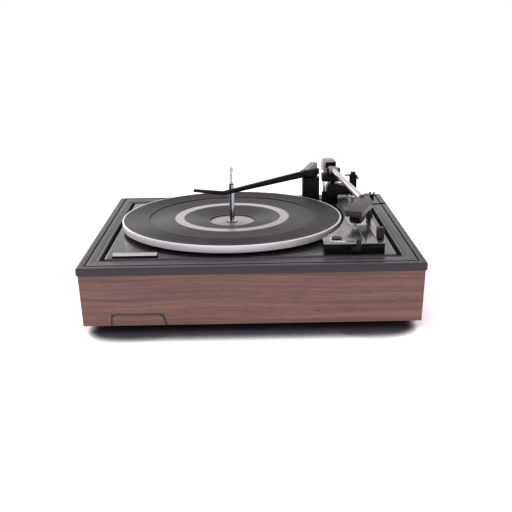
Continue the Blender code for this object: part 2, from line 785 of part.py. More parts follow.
def gear_points(centre, root_radius, tooth, teeth):
    """The outline of a spur gear with trapezoid teeth."""
    tooth_angle_shares = (0.0, 0.30, 0.45, 0.75)
    radii = (root_radius, root_radius, root_radius + tooth, root_radius + tooth)
    points = []
    for index in range(teeth):
        for share, radius in zip(tooth_angle_shares, radii):
            angle = FULL_TURN * (index + share) / teeth
            points.append((centre[0] + radius * math.cos(angle),
                           centre[1] + radius * math.sin(angle)))
    return points


def leaning_board(name, points):
    """A plinth board whose left and right ends lean outwards to the top."""
    leaned = [(x + math.copysign(BOARD_LEAN, x), y) for x, y in points]
    return loft(name, [ring_at(points, FOOT_HEIGHT), ring_at(leaned, BOARD_TOP_Z)], "walnut")


# Plinth
def build_plinth():
    half_x, half_y = PLINTH_LENGTH / 2, PLINTH_DEPTH / 2
    inner_x, inner_y = half_x - BOARD_THICKNESS, half_y - BOARD_THICKNESS
    for name, side in (("plinth_front_board", -1), ("plinth_back_board", 1)):
        points = [(-half_x, side * half_y), (half_x, side * half_y),
                  (inner_x, side * inner_y), (-inner_x, side * inner_y)]
        board = leaning_board(name, points)
        if side > 0:
            reach = BOARD_THICKNESS + CUT_OVERRUN
            cut(board, turned("grommet_hole", disc_profile(GROMMET_RADIUS + SEAT_GAP, -reach, reach),
                              (GROMMET_X, half_y, GROMMET_Z), "walnut", SMALL_STEPS,
                              turn=Matrix.Rotation(QUARTER_TURN, 4, "X"), collection=CUTTERS))
    far_y, near_y = half_y - MITRE_GAP, inner_y - MITRE_GAP
    for name, side in (("plinth_left_board", -1), ("plinth_right_board", 1)):
        leaning_board(name, [(side * half_x, -far_y), (side * half_x, far_y),
                             (side * inner_x, near_y), (side * inner_x, -near_y)])

    room_x, room_y = inner_x - SEAT_GAP, inner_y - SEAT_GAP
    base_top = FOOT_HEIGHT + BASE_BOARD_THICKNESS
    base = outline("base_board", [[(-room_x, -room_y), (room_x, -room_y), (room_x, room_y),
                                   (-room_x, room_y)]], FOOT_HEIGHT, base_top, "hardboard")
    for index in range(VENT_COUNT):
        x = (index - (VENT_COUNT - 1) / 2) * VENT_PITCH
        cut(base, block("vent_cutter", (x - VENT_WIDTH / 2, -VENT_LENGTH / 2, FOOT_HEIGHT - CUT_OVERRUN),
                        (x + VENT_WIDTH / 2, VENT_LENGTH / 2, base_top + CUT_OVERRUN), "hardboard",
                        collection=CUTTERS))

    foot_top = FOOT_HEIGHT - SEAT_GAP
    profile = [(0.0, foot_top), (FOOT_RADIUS, foot_top), (FOOT_RADIUS - FOOT_TAPER, 0.0),
               (FOOT_RECESS_RADIUS, 0.0), (FOOT_RECESS_RADIUS, FOOT_RECESS_DEPTH),
               (0.0, FOOT_RECESS_DEPTH)]
    for (side_x, side_y), corner_name in CORNERS.items():
        centre = (side_x * (half_x - FOOT_INSET_X), side_y * (half_y - FOOT_INSET_Y), 0)
        turned("foot_" + corner_name, profile, centre, "foot_rubber", SMALL_STEPS)

    bore = GROMMET_BORE
    flange = GROMMET_RADIUS + GROMMET_FLANGE
    outside = SEAT_GAP + GROMMET_FLANGE
    grommet_profile = [(flange, outside), (flange, SEAT_GAP), (GROMMET_RADIUS, SEAT_GAP),
                       (GROMMET_RADIUS, -BOARD_THICKNESS), (bore, -BOARD_THICKNESS), (bore, outside)]
    turned("cord_grommet", grommet_profile, (GROMMET_X, half_y, GROMMET_Z), "foot_rubber",
           SMALL_STEPS, closed=True, turn=Matrix.Rotation(-QUARTER_TURN, 4, "X"))

    room = (-room_x, room_x, -room_y, room_y)
    opening = (DECK_BOUNDS[0] + 2 * SPRING_EDGE_INSET, DECK_BOUNDS[1] - 2 * SPRING_EDGE_INSET,
               -room_y + MOUNTING_RIM, room_y - MOUNTING_RIM)
    loops = [[(room[0], room[2]), (room[1], room[2]), (room[1], room[3]), (room[0], room[3])],
             rounded_rectangle(opening, MOUNTING_CORNER_RADIUS)]
    board = outline("mounting_board", loops, MOUNTING_BOTTOM_Z, MOUNTING_TOP_Z, "chipboard")
    bite = MOUNTING_BOARD_THICKNESS / 4
    for side_x, side_y in CORNERS:
        corner = (side_x * room_x, side_y * room_y)
        points = [corner, (corner[0] - side_x * CORNER_BLOCK_SIDE, corner[1]),
                  (corner[0], corner[1] - side_y * CORNER_BLOCK_SIDE)]
        fuse(board, outline("corner_block", [points], base_top + SEAT_GAP, MOUNTING_BOTTOM_Z + bite,
                            "chipboard", collection=CUTTERS))
    for x, y in spring_places():
        profile = [(0.0, SPRING_PEG_TOP_Z), (SPRING_PEG_RADIUS, SPRING_PEG_TOP_Z),
                   (SPRING_PEG_RADIUS, SPRING_CUP_TOP_Z), (SPRING_CUP_RADIUS, SPRING_CUP_TOP_Z),
                   (SPRING_CUP_RADIUS, MOUNTING_TOP_Z - bite), (0.0, MOUNTING_TOP_Z - bite)]
        fuse(board, turned("spring_cup", profile, (x, y, 0), "chipboard", SMALL_STEPS,
                           collection=CUTTERS))


# Plastic surround
def build_top_frame():
    outer = (-FRAME_LENGTH / 2, FRAME_LENGTH / 2, -FRAME_DEPTH / 2, FRAME_DEPTH / 2)
    opening = (OPENING_LEFT_X, OPENING_RIGHT_X, OPENING_FRONT_Y, OPENING_BACK_Y)
    bottom = BOARD_TOP_Z + SEAT_GAP
    groove_floor = FRAME_TOP_Z - FRAME_GROOVE_DEPTH
    lip_low = FRAME_TOP_Z - FRAME_LIP_STEP
    groove_slope = FRAME_GROOVE_WIDTH / 4
    groove_end = FRAME_GROOVE_INSET + FRAME_GROOVE_WIDTH
    near_outside = ((0.0, bottom), (0.0, FRAME_TOP_Z - FRAME_EDGE_ROUND),
                    (FRAME_EDGE_ROUND * EDGE_SOFT_SHARE, FRAME_TOP_Z - FRAME_EDGE_ROUND * EDGE_SOFT_SHARE),
                    (FRAME_EDGE_ROUND, FRAME_TOP_Z), (FRAME_GROOVE_INSET, FRAME_TOP_Z),
                    (FRAME_GROOVE_INSET + groove_slope, groove_floor),
                    (groove_end - groove_slope, groove_floor), (groove_end, FRAME_TOP_Z))
    skirt_bottom = MOUNTING_TOP_Z + SEAT_GAP
    lip_heights = (FRAME_TOP_Z, lip_low, lip_low, FRAME_TOP_Z, FRAME_TOP_Z, lip_low)
    near_inside = [(FRAME_LIP_WIDTH * share, height) for share, height in zip(LIP_SHARES, lip_heights)]
    near_inside += [(0.0, skirt_bottom), (FRAME_SKIRT_THICKNESS, skirt_bottom),
                    (FRAME_SKIRT_THICKNESS, bottom)]
    rings = []
    for distance, height in near_outside:
        radius = max(FRAME_CORNER_RADIUS - distance, FRAME_EDGE_ROUND)
        rings.append(ring_at(rounded_rectangle(inset(outer, distance), radius), height))
    for distance, height in near_inside:
        radius = FRAME_INNER_RADIUS + distance
        rings.append(ring_at(rounded_rectangle(inset(opening, -distance), radius), height))
    loft("top_frame", rings, "frame_plastic", closed=True)


def add_studs(deck):
    """Rivet the idler arm's stud and the cam's stud, each with a clip below, to the unit plate."""
    top = DECK_TOP_Z - DECK_THICKNESS / 2
    arm_top = DECK_TOP_Z - IDLER_ARM_TOP_DROP
    cam_top = DECK_TOP_Z - GEAR_TOP_DROP
    studs = ((IDLER_PIVOT, MOTOR_STUD_RADIUS, arm_top, arm_top - IDLER_ARM_THICKNESS),
             (CAM_CENTRE, CAM_HOLE_RADIUS - RUN_GAP, cam_top, cam_top - CAM_HEIGHT - CAM_BOSS_HEIGHT))
    for place_at, radius, piece_top, piece_bottom in studs:
        shoulder = piece_top + SEAT_GAP
        clip_top = piece_bottom - SEAT_GAP
        clip_bottom = clip_top - STUD_CLIP_HEIGHT
        profile = [(0.0, top), (STUD_CLIP_RADIUS, top), (STUD_CLIP_RADIUS, shoulder), (radius, shoulder),
                   (radius, clip_top), (STUD_CLIP_RADIUS, clip_top), (STUD_CLIP_RADIUS, clip_bottom),
                   (0.0, clip_bottom)]
        fuse(deck, turned("stud", profile, (place_at.x, place_at.y, 0), "black_paint", SMALL_STEPS,
                          collection=CUTTERS))


# Steel unit plate on its springs
def build_deck():
    skirt_bottom = DECK_TOP_Z - DECK_SKIRT
    sections = ((0.0, skirt_bottom), (0.0, DECK_TOP_Z - DECK_EDGE_ROUND),
                (DECK_EDGE_ROUND * EDGE_SOFT_SHARE, DECK_TOP_Z - DECK_EDGE_ROUND * EDGE_SOFT_SHARE),
                (DECK_EDGE_ROUND, DECK_TOP_Z))
    wall = DECK_THICKNESS
    rings = []
    for distance, height in sections:
        radius = max(DECK_CORNER_RADIUS - distance, DECK_EDGE_ROUND)
        rings.append(ring_at(rounded_rectangle(inset(DECK_BOUNDS, distance), radius), height))
    deck = loft("deck_plate", rings, "black_paint")
    hollow_rings = []
    for distance, height in ((wall, skirt_bottom - CUT_OVERRUN), (wall, DECK_UNDER_Z - DECK_EDGE_ROUND),
                             (wall + DECK_EDGE_ROUND, DECK_UNDER_Z)):
        radius = max(DECK_CORNER_RADIUS - distance, DECK_EDGE_ROUND)
        hollow_rings.append(ring_at(rounded_rectangle(inset(DECK_BOUNDS, distance), radius), height))
    cut(deck, loft("deck_hollow", hollow_rings, "black_paint", collection=CUTTERS))
    cut_deck(deck)
    spring_rods()


def cut_deck(deck):
    """Cut the holes for the drive in the unit plate, and rivet the studs to it."""
    low, high = DECK_UNDER_Z - CUT_OVERRUN, DECK_TOP_Z + CUT_OVERRUN
    cut(deck, outline("hub_hole", [circle_points(PLATTER_CENTRE, DECK_HUB_HOLE, MEDIUM_STEPS)],
                      low, high, "black_paint", collection=CUTTERS))
    cut(deck, outline("pulley_hole", [circle_points(PULLEY_CENTRE, PULLEY_HOLE_RADIUS, SMALL_STEPS)],
                      low, high, "black_paint", collection=CUTTERS))
    slot = (IDLER_CENTRE.x - IDLER_SLOT_WIDTH / 2, IDLER_CENTRE.x + IDLER_SLOT_WIDTH / 2,
            IDLER_CENTRE.y - IDLER_SLOT_LENGTH / 2, IDLER_CENTRE.y + IDLER_SLOT_LENGTH / 2)
    cut(deck, outline("idler_slot", [rounded_rectangle(slot, IDLER_SLOT_ROUND, 3)],
                      low, high, "black_paint", collection=CUTTERS))
    add_studs(deck)


def spring_rods():
    """Stand the four springs between their cups and the unit plate."""
    coil_low = SPRING_CUP_TOP_Z + SEAT_GAP + SPRING_WIRE_RADIUS
    coil_high = DECK_UNDER_Z - SEAT_GAP - SPRING_WIRE_RADIUS
    count = SPRING_TURNS * SPRING_POINTS_PER_TURN
    for (x, y), corner_name in zip(spring_places(), CORNERS.values()):
        points = []
        for index in range(count + 1):
            angle = FULL_TURN * index / SPRING_POINTS_PER_TURN
            rise = (coil_high - coil_low) * index / count
            points.append((x + SPRING_RADIUS * math.cos(angle), y + SPRING_RADIUS * math.sin(angle),
                           coil_low + rise))
        rod("spring_" + corner_name, points, SPRING_WIRE_RADIUS, "bright_steel", 0)


# Platter, mat and trims turn together on the bearing sleeve
def build_platter():
    base = DECK_TOP_Z
    top_of_rim = base + PLATTER_UNDER + PLATTER_RIM_HEIGHT
    plate_top = base + PLATTER_PLATE_TOP
    plate_under = plate_top - PLATTER_PLATE_THICKNESS
    bore = SLEEVE_RADIUS + RUN_GAP
    rim = PLATTER_RADIUS
    soft = PLATTER_RIM_ROUND
    lip = rim - PLATTER_LIP_WIDTH
    rim_bottom = base + PLATTER_UNDER
    hub_bottom = base + HUB_BOTTOM
    neck_bottom = base - HUB_NECK_BOTTOM
    dish_top = base + PLATTER_DISH_TOP
    dish_under = dish_top - PLATTER_PLATE_THICKNESS
    profile = [(lip, top_of_rim), (rim - soft, top_of_rim), (rim, top_of_rim - soft),
               (rim, rim_bottom + soft), (rim - soft, rim_bottom), (RIM_INNER_RADIUS, rim_bottom),
               (RIM_INNER_RADIUS, plate_under), (PLATTER_CONE_RADIUS, plate_under),
               (PLATTER_DISH_RADIUS, dish_under), (HUB_RADIUS, dish_under), (HUB_RADIUS, hub_bottom),
               (HUB_NECK_RADIUS, hub_bottom), (HUB_NECK_RADIUS, neck_bottom), (bore, neck_bottom),
               (bore, dish_top), (PLATTER_DISH_RADIUS, dish_top), (PLATTER_CONE_RADIUS, plate_top),
               (lip, plate_top)]
    centre = (PLATTER_X, PLATTER_Y, 0)
    platter = turned("platter", profile, centre, "platter_metal", LARGE_STEPS, closed=True)

    mat_top = base + MAT_TOP
    mat_bottom = plate_top + SEAT_GAP
    edge = lip - MAT_EDGE_GAP
    inner_top = mat_top - MAT_STEP_DEPTH
    recess_floor = inner_top + RING_RISE - RING_THICKNESS - SEAT_GAP
    dish_bottom = dish_top + SEAT_GAP
    mat_profile = [(MAT_HOLE_RADIUS, base + MAT_HOLE_TOP), (MAT_CONE_RADIUS, inner_top),
                   (RING_INNER_RADIUS - SEAT_GAP, inner_top),
                   (RING_INNER_RADIUS - SEAT_GAP, recess_floor),
                   (RING_OUTER_RADIUS + SEAT_GAP, recess_floor),
                   (RING_OUTER_RADIUS + SEAT_GAP, inner_top), (MAT_STEP_RADIUS, inner_top),
                   (MAT_STEP_RADIUS + MAT_STEP_WIDTH, mat_top), (edge - MAT_EDGE_ROUND, mat_top),
                   (edge, mat_top - MAT_EDGE_ROUND), (edge, mat_bottom),
                   (PLATTER_CONE_RADIUS, mat_bottom), (PLATTER_DISH_RADIUS, dish_bottom),
                   (MAT_HOLE_RADIUS, dish_bottom)]
    mat = turned("platter_mat", mat_profile, centre, "mat_rubber", LARGE_STEPS, closed=True)

    ring_top = inner_top + RING_RISE
    ring = turned("mat_ring", tube_profile(RING_INNER_RADIUS, RING_OUTER_RADIUS,
                                           ring_top - RING_THICKNESS, ring_top),
                  centre, "platter_metal", LARGE_STEPS, closed=True)
    trim_bottom = dish_bottom
    trim_top = trim_bottom + TRIM_THICKNESS
    trim_rim = TRIM_RADIUS - TRIM_RIM_WIDTH
    trim_profile = [(TRIM_HOLE_RADIUS, trim_top - TRIM_DISH), (trim_rim, trim_top - TRIM_DISH),
                    (trim_rim + TRIM_RIM_WIDTH / 2, trim_top), (TRIM_RADIUS, trim_top),
                    (TRIM_RADIUS, trim_bottom), (TRIM_HOLE_RADIUS, trim_bottom)]
    trim = turned("centre_trim", trim_profile, centre, "platter_metal", MEDIUM_STEPS, closed=True)

    gear_top = neck_bottom - (GEAR_TOP_DROP - HUB_NECK_BOTTOM)
    bore_loop = circle_points(PLATTER_CENTRE, bore, SMALL_STEPS)
    teeth_loop = gear_points(PLATTER_CENTRE, PINION_ROOT_RADIUS, PINION_TOOTH, PINION_TEETH)
    pinion = outline("hub_pinion", [teeth_loop, bore_loop], gear_top - PINION_HEIGHT, gear_top, "zinc")
    hang("platter_axis", PLATTER_CENTRE, platter, mat, ring, trim, pinion)


# Fixed bearing, its bridge and the changer spindle with its pusher
def build_spindle():
    base = DECK_TOP_Z
    centre = (PLATTER_X, PLATTER_Y, 0)
    bore = SPINDLE_RADIUS + RUN_GAP
    flange_top = base - BEARING_FLANGE_DROP
    flange_bottom = flange_top - BEARING_FLANGE_THICKNESS
    boss_bottom = flange_bottom - BEARING_BOSS_LENGTH
    sleeve_top = base + SLEEVE_TOP
    profile = [(SLEEVE_RADIUS, sleeve_top), (SLEEVE_RADIUS, flange_top),
               (BEARING_FLANGE_RADIUS, flange_top), (BEARING_FLANGE_RADIUS, flange_bottom),
               (BEARING_BOSS_RADIUS, flange_bottom), (BEARING_BOSS_RADIUS, boss_bottom),
               (bore, boss_bottom), (bore, sleeve_top)]
    turned("spindle_bearing", profile, centre, "zinc", MEDIUM_STEPS, closed=True)

    strap_top = flange_bottom - SEAT_GAP
    strap_bottom = strap_top - BRIDGE_THICKNESS
    foot_top = DECK_UNDER_Z - SEAT_GAP
    foot_bottom = foot_top - BRIDGE_THICKNESS
    half = BRIDGE_SPAN / 2
    neck = half - BRIDGE_FOOT
    profile = [(-half, foot_top), (-half, foot_bottom), (-neck - BRIDGE_THICKNESS, foot_bottom),
               (-neck - BRIDGE_THICKNESS, strap_bottom), (neck + BRIDGE_THICKNESS, strap_bottom),
               (neck + BRIDGE_THICKNESS, foot_bottom), (half, foot_bottom), (half, foot_top),
               (neck, foot_top), (neck, strap_top), (-neck, strap_top), (-neck, foot_top)]
    stand = (Matrix.Translation(centre) @ Matrix.Rotation(BRIDGE_TURN, 4, "Z")
             @ Matrix.Rotation(QUARTER_TURN, 4, "X"))
    bridge = outline("bearing_bridge", [profile], -BRIDGE_WIDTH / 2, BRIDGE_WIDTH / 2,
                     "bright_steel", turn=stand)
    cut(bridge, outline("bridge_hole", [circle_points(PLATTER_CENTRE, BEARING_BOSS_RADIUS + SEAT_GAP,
                                                      MEDIUM_STEPS)],
                        strap_bottom - CUT_OVERRUN, strap_top + CUT_OVERRUN, "bright_steel",
                        collection=CUTTERS))

    collar_bottom = sleeve_top + SEAT_GAP
    collar_top = collar_bottom + SPINDLE_COLLAR_HEIGHT
    shoulder = base + SPINDLE_SHOULDER
    cone = shoulder + SPINDLE_SHOULDER_CONE
    radius = SPINDLE_RADIUS
    profile = [(0.0, cone), (SPINDLE_TIP_RADIUS, cone), (radius, shoulder), (radius, collar_top),
               (SPINDLE_COLLAR_RADIUS, collar_top), (SPINDLE_COLLAR_RADIUS, collar_bottom),
               (radius, collar_bottom), (radius, base - SPINDLE_BOTTOM),
               (0.0, base - SPINDLE_BOTTOM)]
    spindle = turned("spindle", profile, centre, "bright_steel", MEDIUM_STEPS)
    tip_low = shoulder - SPINDLE_SHOULDER_CONE
    tip_rise = base + SPINDLE_TOP - tip_low
    points, radii = [], []
    for rise, lean in zip(SPINDLE_RISE_SHARES, SPINDLE_LEAN_SHARES):
        reach = SPINDLE_LEAN_LEFT if lean < 0 else SPINDLE_LEAN_RIGHT
        points.append((PLATTER_X + lean * reach, PLATTER_Y, tip_low + rise * tip_rise))
        radii.append(SPINDLE_END_SHARE if rise == 1.0 else 1.0)
    fuse(spindle, rod("spindle_tip", points, SPINDLE_TIP_RADIUS, "bright_steel", radii=radii,
                      collection=CUTTERS))
    left = PLATTER_X - radius
    top = shoulder - SPINDLE_SHOULDER_CONE
    cut(spindle, block("pusher_slot", (left - CUT_OVERRUN, PLATTER_Y - PUSHER_THICKNESS / 2 - RUN_GAP,
                                       top - PUSHER_HEIGHT - RUN_GAP),
                       (left + PUSHER_DEPTH + RUN_GAP + PUSHER_TRAVEL,
                        PLATTER_Y + PUSHER_THICKNESS / 2 + RUN_GAP, top + RUN_GAP),
                       "bright_steel", collection=CUTTERS))
    pusher = block("spindle_pusher", (left, PLATTER_Y - PUSHER_THICKNESS / 2, top - PUSHER_HEIGHT),
                   (left + PUSHER_DEPTH, PLATTER_Y + PUSHER_THICKNESS / 2, top), "black_plastic")
    hang("pusher_axis", (PLATTER_X, PLATTER_Y, top), pusher)


# Idler, motor and the change-cycle cam
def build_drive():
    base = DECK_TOP_Z
    low, high = base + IDLER_BOTTOM, base + IDLER_BOTTOM + IDLER_HEIGHT
    rim = IDLER_RADIUS - IDLER_TYRE
    arm_top = base - IDLER_ARM_TOP_DROP
    arm_bottom = arm_top - IDLER_ARM_THICKNESS
    centre = (IDLER_CENTRE.x, IDLER_CENTRE.y, 0)
    idler_tyre = turned("idler_tyre", tube_profile(rim + SEAT_GAP, IDLER_RADIUS, low, high), centre,
                        "foot_rubber", TYRE_STEPS, closed=True)
    shaft = IDLER_SHAFT_RADIUS
    shaft_bottom = arm_bottom - STUD_CLIP_HEIGHT
    hub_bottom = arm_top + SEAT_GAP
    profile = [(0.0, high), (rim, high), (rim, low), (IDLER_HUB_RADIUS, low),
               (IDLER_HUB_RADIUS - shaft / 2, hub_bottom), (shaft, hub_bottom), (shaft, shaft_bottom),
               (0.0, shaft_bottom)]
    idler_wheel = turned("idler_wheel", profile, centre, "zinc", MEDIUM_STEPS)
    hang("idler_axis", IDLER_CENTRE, idler_tyre, idler_wheel)

    half = IDLER_ARM_WIDTH / 2
    direction = Vector((IDLER_PIVOT.x - IDLER_CENTRE.x, IDLER_PIVOT.y - IDLER_CENTRE.y))
    start = math.atan2(direction.y, direction.x)
    points = []
    for end, facing in ((IDLER_PIVOT, start), (IDLER_CENTRE, start + math.pi)):
        for step in range(7):
            angle = facing - QUARTER_TURN + math.pi * step / 6
            points.append((end.x + half * math.cos(angle), end.y + half * math.sin(angle)))
    holes = [circle_points(IDLER_PIVOT, MOTOR_STUD_RADIUS + RUN_GAP, SMALL_STEPS),
             circle_points(IDLER_CENTRE, shaft + RUN_GAP, SMALL_STEPS)]
    idler_arm = outline("idler_arm", [points] + holes, arm_bottom, arm_top, "bright_steel")
    hang("idler_arm_axis", IDLER_PIVOT, idler_arm)

    core_top = base - MOTOR_DROP
    core_bottom = core_top - MOTOR_CORE_HEIGHT
    centre = PULLEY_CENTRE
    bounds = (centre.x - MOTOR_CORE_LENGTH / 2, centre.x + MOTOR_CORE_LENGTH / 2,
              centre.y - MOTOR_CORE_DEPTH / 2, centre.y + MOTOR_CORE_DEPTH / 2)
    coil_x = bounds[1] - COIL_WIDTH
    rotor_hole = circle_points(centre, ROTOR_RADIUS + AIR_GAP, MEDIUM_STEPS)
    core = outline("motor_core", [rounded_rectangle(bounds, MOTOR_CORE_ROUND, 2), rotor_hole],
                   core_bottom, core_top, "zinc")
    coil_low = (coil_x, centre.y - COIL_LENGTH / 2, core_bottom - COIL_OVERHANG)
    coil_high = (coil_x + COIL_WIDTH / 2, centre.y + COIL_LENGTH / 2, core_top + COIL_OVERHANG)
    for shift in (-1, 1):
        y = centre.y + shift * (COIL_LENGTH / 2 + COIL_OVERHANG / 2)
        cut(core, block("coil_window", (coil_x - SEAT_GAP, y - COIL_OVERHANG / 2 - SEAT_GAP,
                                        core_bottom - CUT_OVERRUN),
                        (coil_x + COIL_WIDTH / 2 + SEAT_GAP, y + COIL_OVERHANG / 2 + SEAT_GAP,
                         core_top + CUT_OVERRUN), "zinc", collection=CUTTERS))
    coil = block("motor_coil", (coil_low[0], coil_low[1] - COIL_OVERHANG, coil_low[2]),
                 (coil_high[0], coil_high[1] + COIL_OVERHANG, coil_high[2]), "copper", 0.0)
    cut(coil, block("coil_hole", (coil_low[0] - CUT_OVERRUN, coil_low[1] - SEAT_GAP,
                                  core_bottom - SEAT_GAP),
                    (coil_high[0] + CUT_OVERRUN, coil_high[1] + SEAT_GAP, core_top + SEAT_GAP),
                    "copper", collection=CUTTERS))

    rotor_bottom, rotor_top = core_bottom - ROTOR_OVERHANG, core_top + ROTOR_OVERHANG
    shaft = MOTOR_SHAFT_RADIUS
    profile = [(0.0, base + PULLEY_STEP_TOPS[-1])]
    steps_down = list(zip(reversed(PULLEY_STEP_RADII), reversed(PULLEY_STEP_TOPS)))
    lows = list(reversed((PULLEY_BOTTOM,) + PULLEY_STEP_TOPS[:-1]))
    for (radius, top), bottom in zip(steps_down, lows):
        profile += [(radius, base + top), (radius, base + bottom)]
    profile += [(shaft, base + PULLEY_BOTTOM), (shaft, rotor_top), (ROTOR_RADIUS, rotor_top),
                (ROTOR_RADIUS, rotor_bottom), (shaft, rotor_bottom),
                (shaft, rotor_bottom - MOTOR_SHAFT_TAIL), (0.0, rotor_bottom - MOTOR_SHAFT_TAIL)]
    rotor = turned("motor_rotor", profile, (centre.x, centre.y, 0), "bright_steel", MEDIUM_STEPS)
    hang("motor_axis", centre, rotor)

    inset_x = MOTOR_CORE_LENGTH / 2 - MOTOR_STUD_INSET
    inset_y = MOTOR_CORE_DEPTH / 2 - MOTOR_STUD_INSET
    for side_x, side_y in CORNERS:
        place_x, place_y = centre.x + side_x * inset_x, centre.y + side_y * inset_y
        fuse(core, turned("motor_stud", disc_profile(MOTOR_STUD_RADIUS, core_top - MOTOR_CORE_ROUND,
                                                     DECK_UNDER_Z - SEAT_GAP),
                          (place_x, place_y, 0), "zinc", SMALL_STEPS, collection=CUTTERS))

    cam_top = base - GEAR_TOP_DROP
    cam_bottom = cam_top - CAM_HEIGHT
    boss_bottom = cam_bottom - CAM_BOSS_HEIGHT
    hole = circle_points(CAM_CENTRE, CAM_HOLE_RADIUS, SMALL_STEPS)
    teeth = gear_points(CAM_CENTRE, CAM_ROOT_RADIUS, CAM_TOOTH, CAM_TEETH)
    cam = outline("cycle_cam", [teeth, hole], cam_bottom, cam_top, "zinc")
    cam_axis = (CAM_CENTRE.x, CAM_CENTRE.y, 0)
    fuse(cam, turned("cam_boss", tube_profile(CAM_HOLE_RADIUS, CAM_BOSS_RADIUS, boss_bottom,
                                              cam_bottom + SEAT_GAP), cam_axis, "zinc", SMALL_STEPS,
                     closed=True, collection=CUTTERS))
    cut(cam, turned("cam_track", tube_profile(CAM_TRACK_INNER, CAM_TRACK_OUTER,
                                              cam_bottom - CUT_OVERRUN, cam_bottom + CAM_TRACK_DEPTH),
                    cam_axis, "zinc", MEDIUM_STEPS, closed=True, collection=CUTTERS))
    hang("cam_axis", CAM_CENTRE, cam)


def panel_outline(distance):
    """The outline of the control island, drawn in by distance all round."""
    centre_x, centre_y = PLATTER_X - PANEL_ARC_SHIFT, PLATTER_Y + PANEL_ARC_RISE
    radius = PANEL_ARC_RADIUS + distance
    front, start, end = PANEL_FRONT_Y + distance, PANEL_ARC_START_Y, PANEL_ARC_END_Y
    arc = []
    for index in range(PANEL_ARC_POINTS + 1):
        y = start + (end - start) * index / PANEL_ARC_POINTS
        arc.append((centre_x + math.sqrt(radius ** 2 - (y - centre_y) ** 2), y))
    points = [(arc[0][0], front)] + arc
    points.append((PANEL_TAIL_X + distance, PANEL_REAR_Y - distance))
    points.append((PANEL_RIGHT_X - distance, PANEL_REAR_Y - distance))
    points.append((PANEL_RIGHT_X - distance, front))
    return points


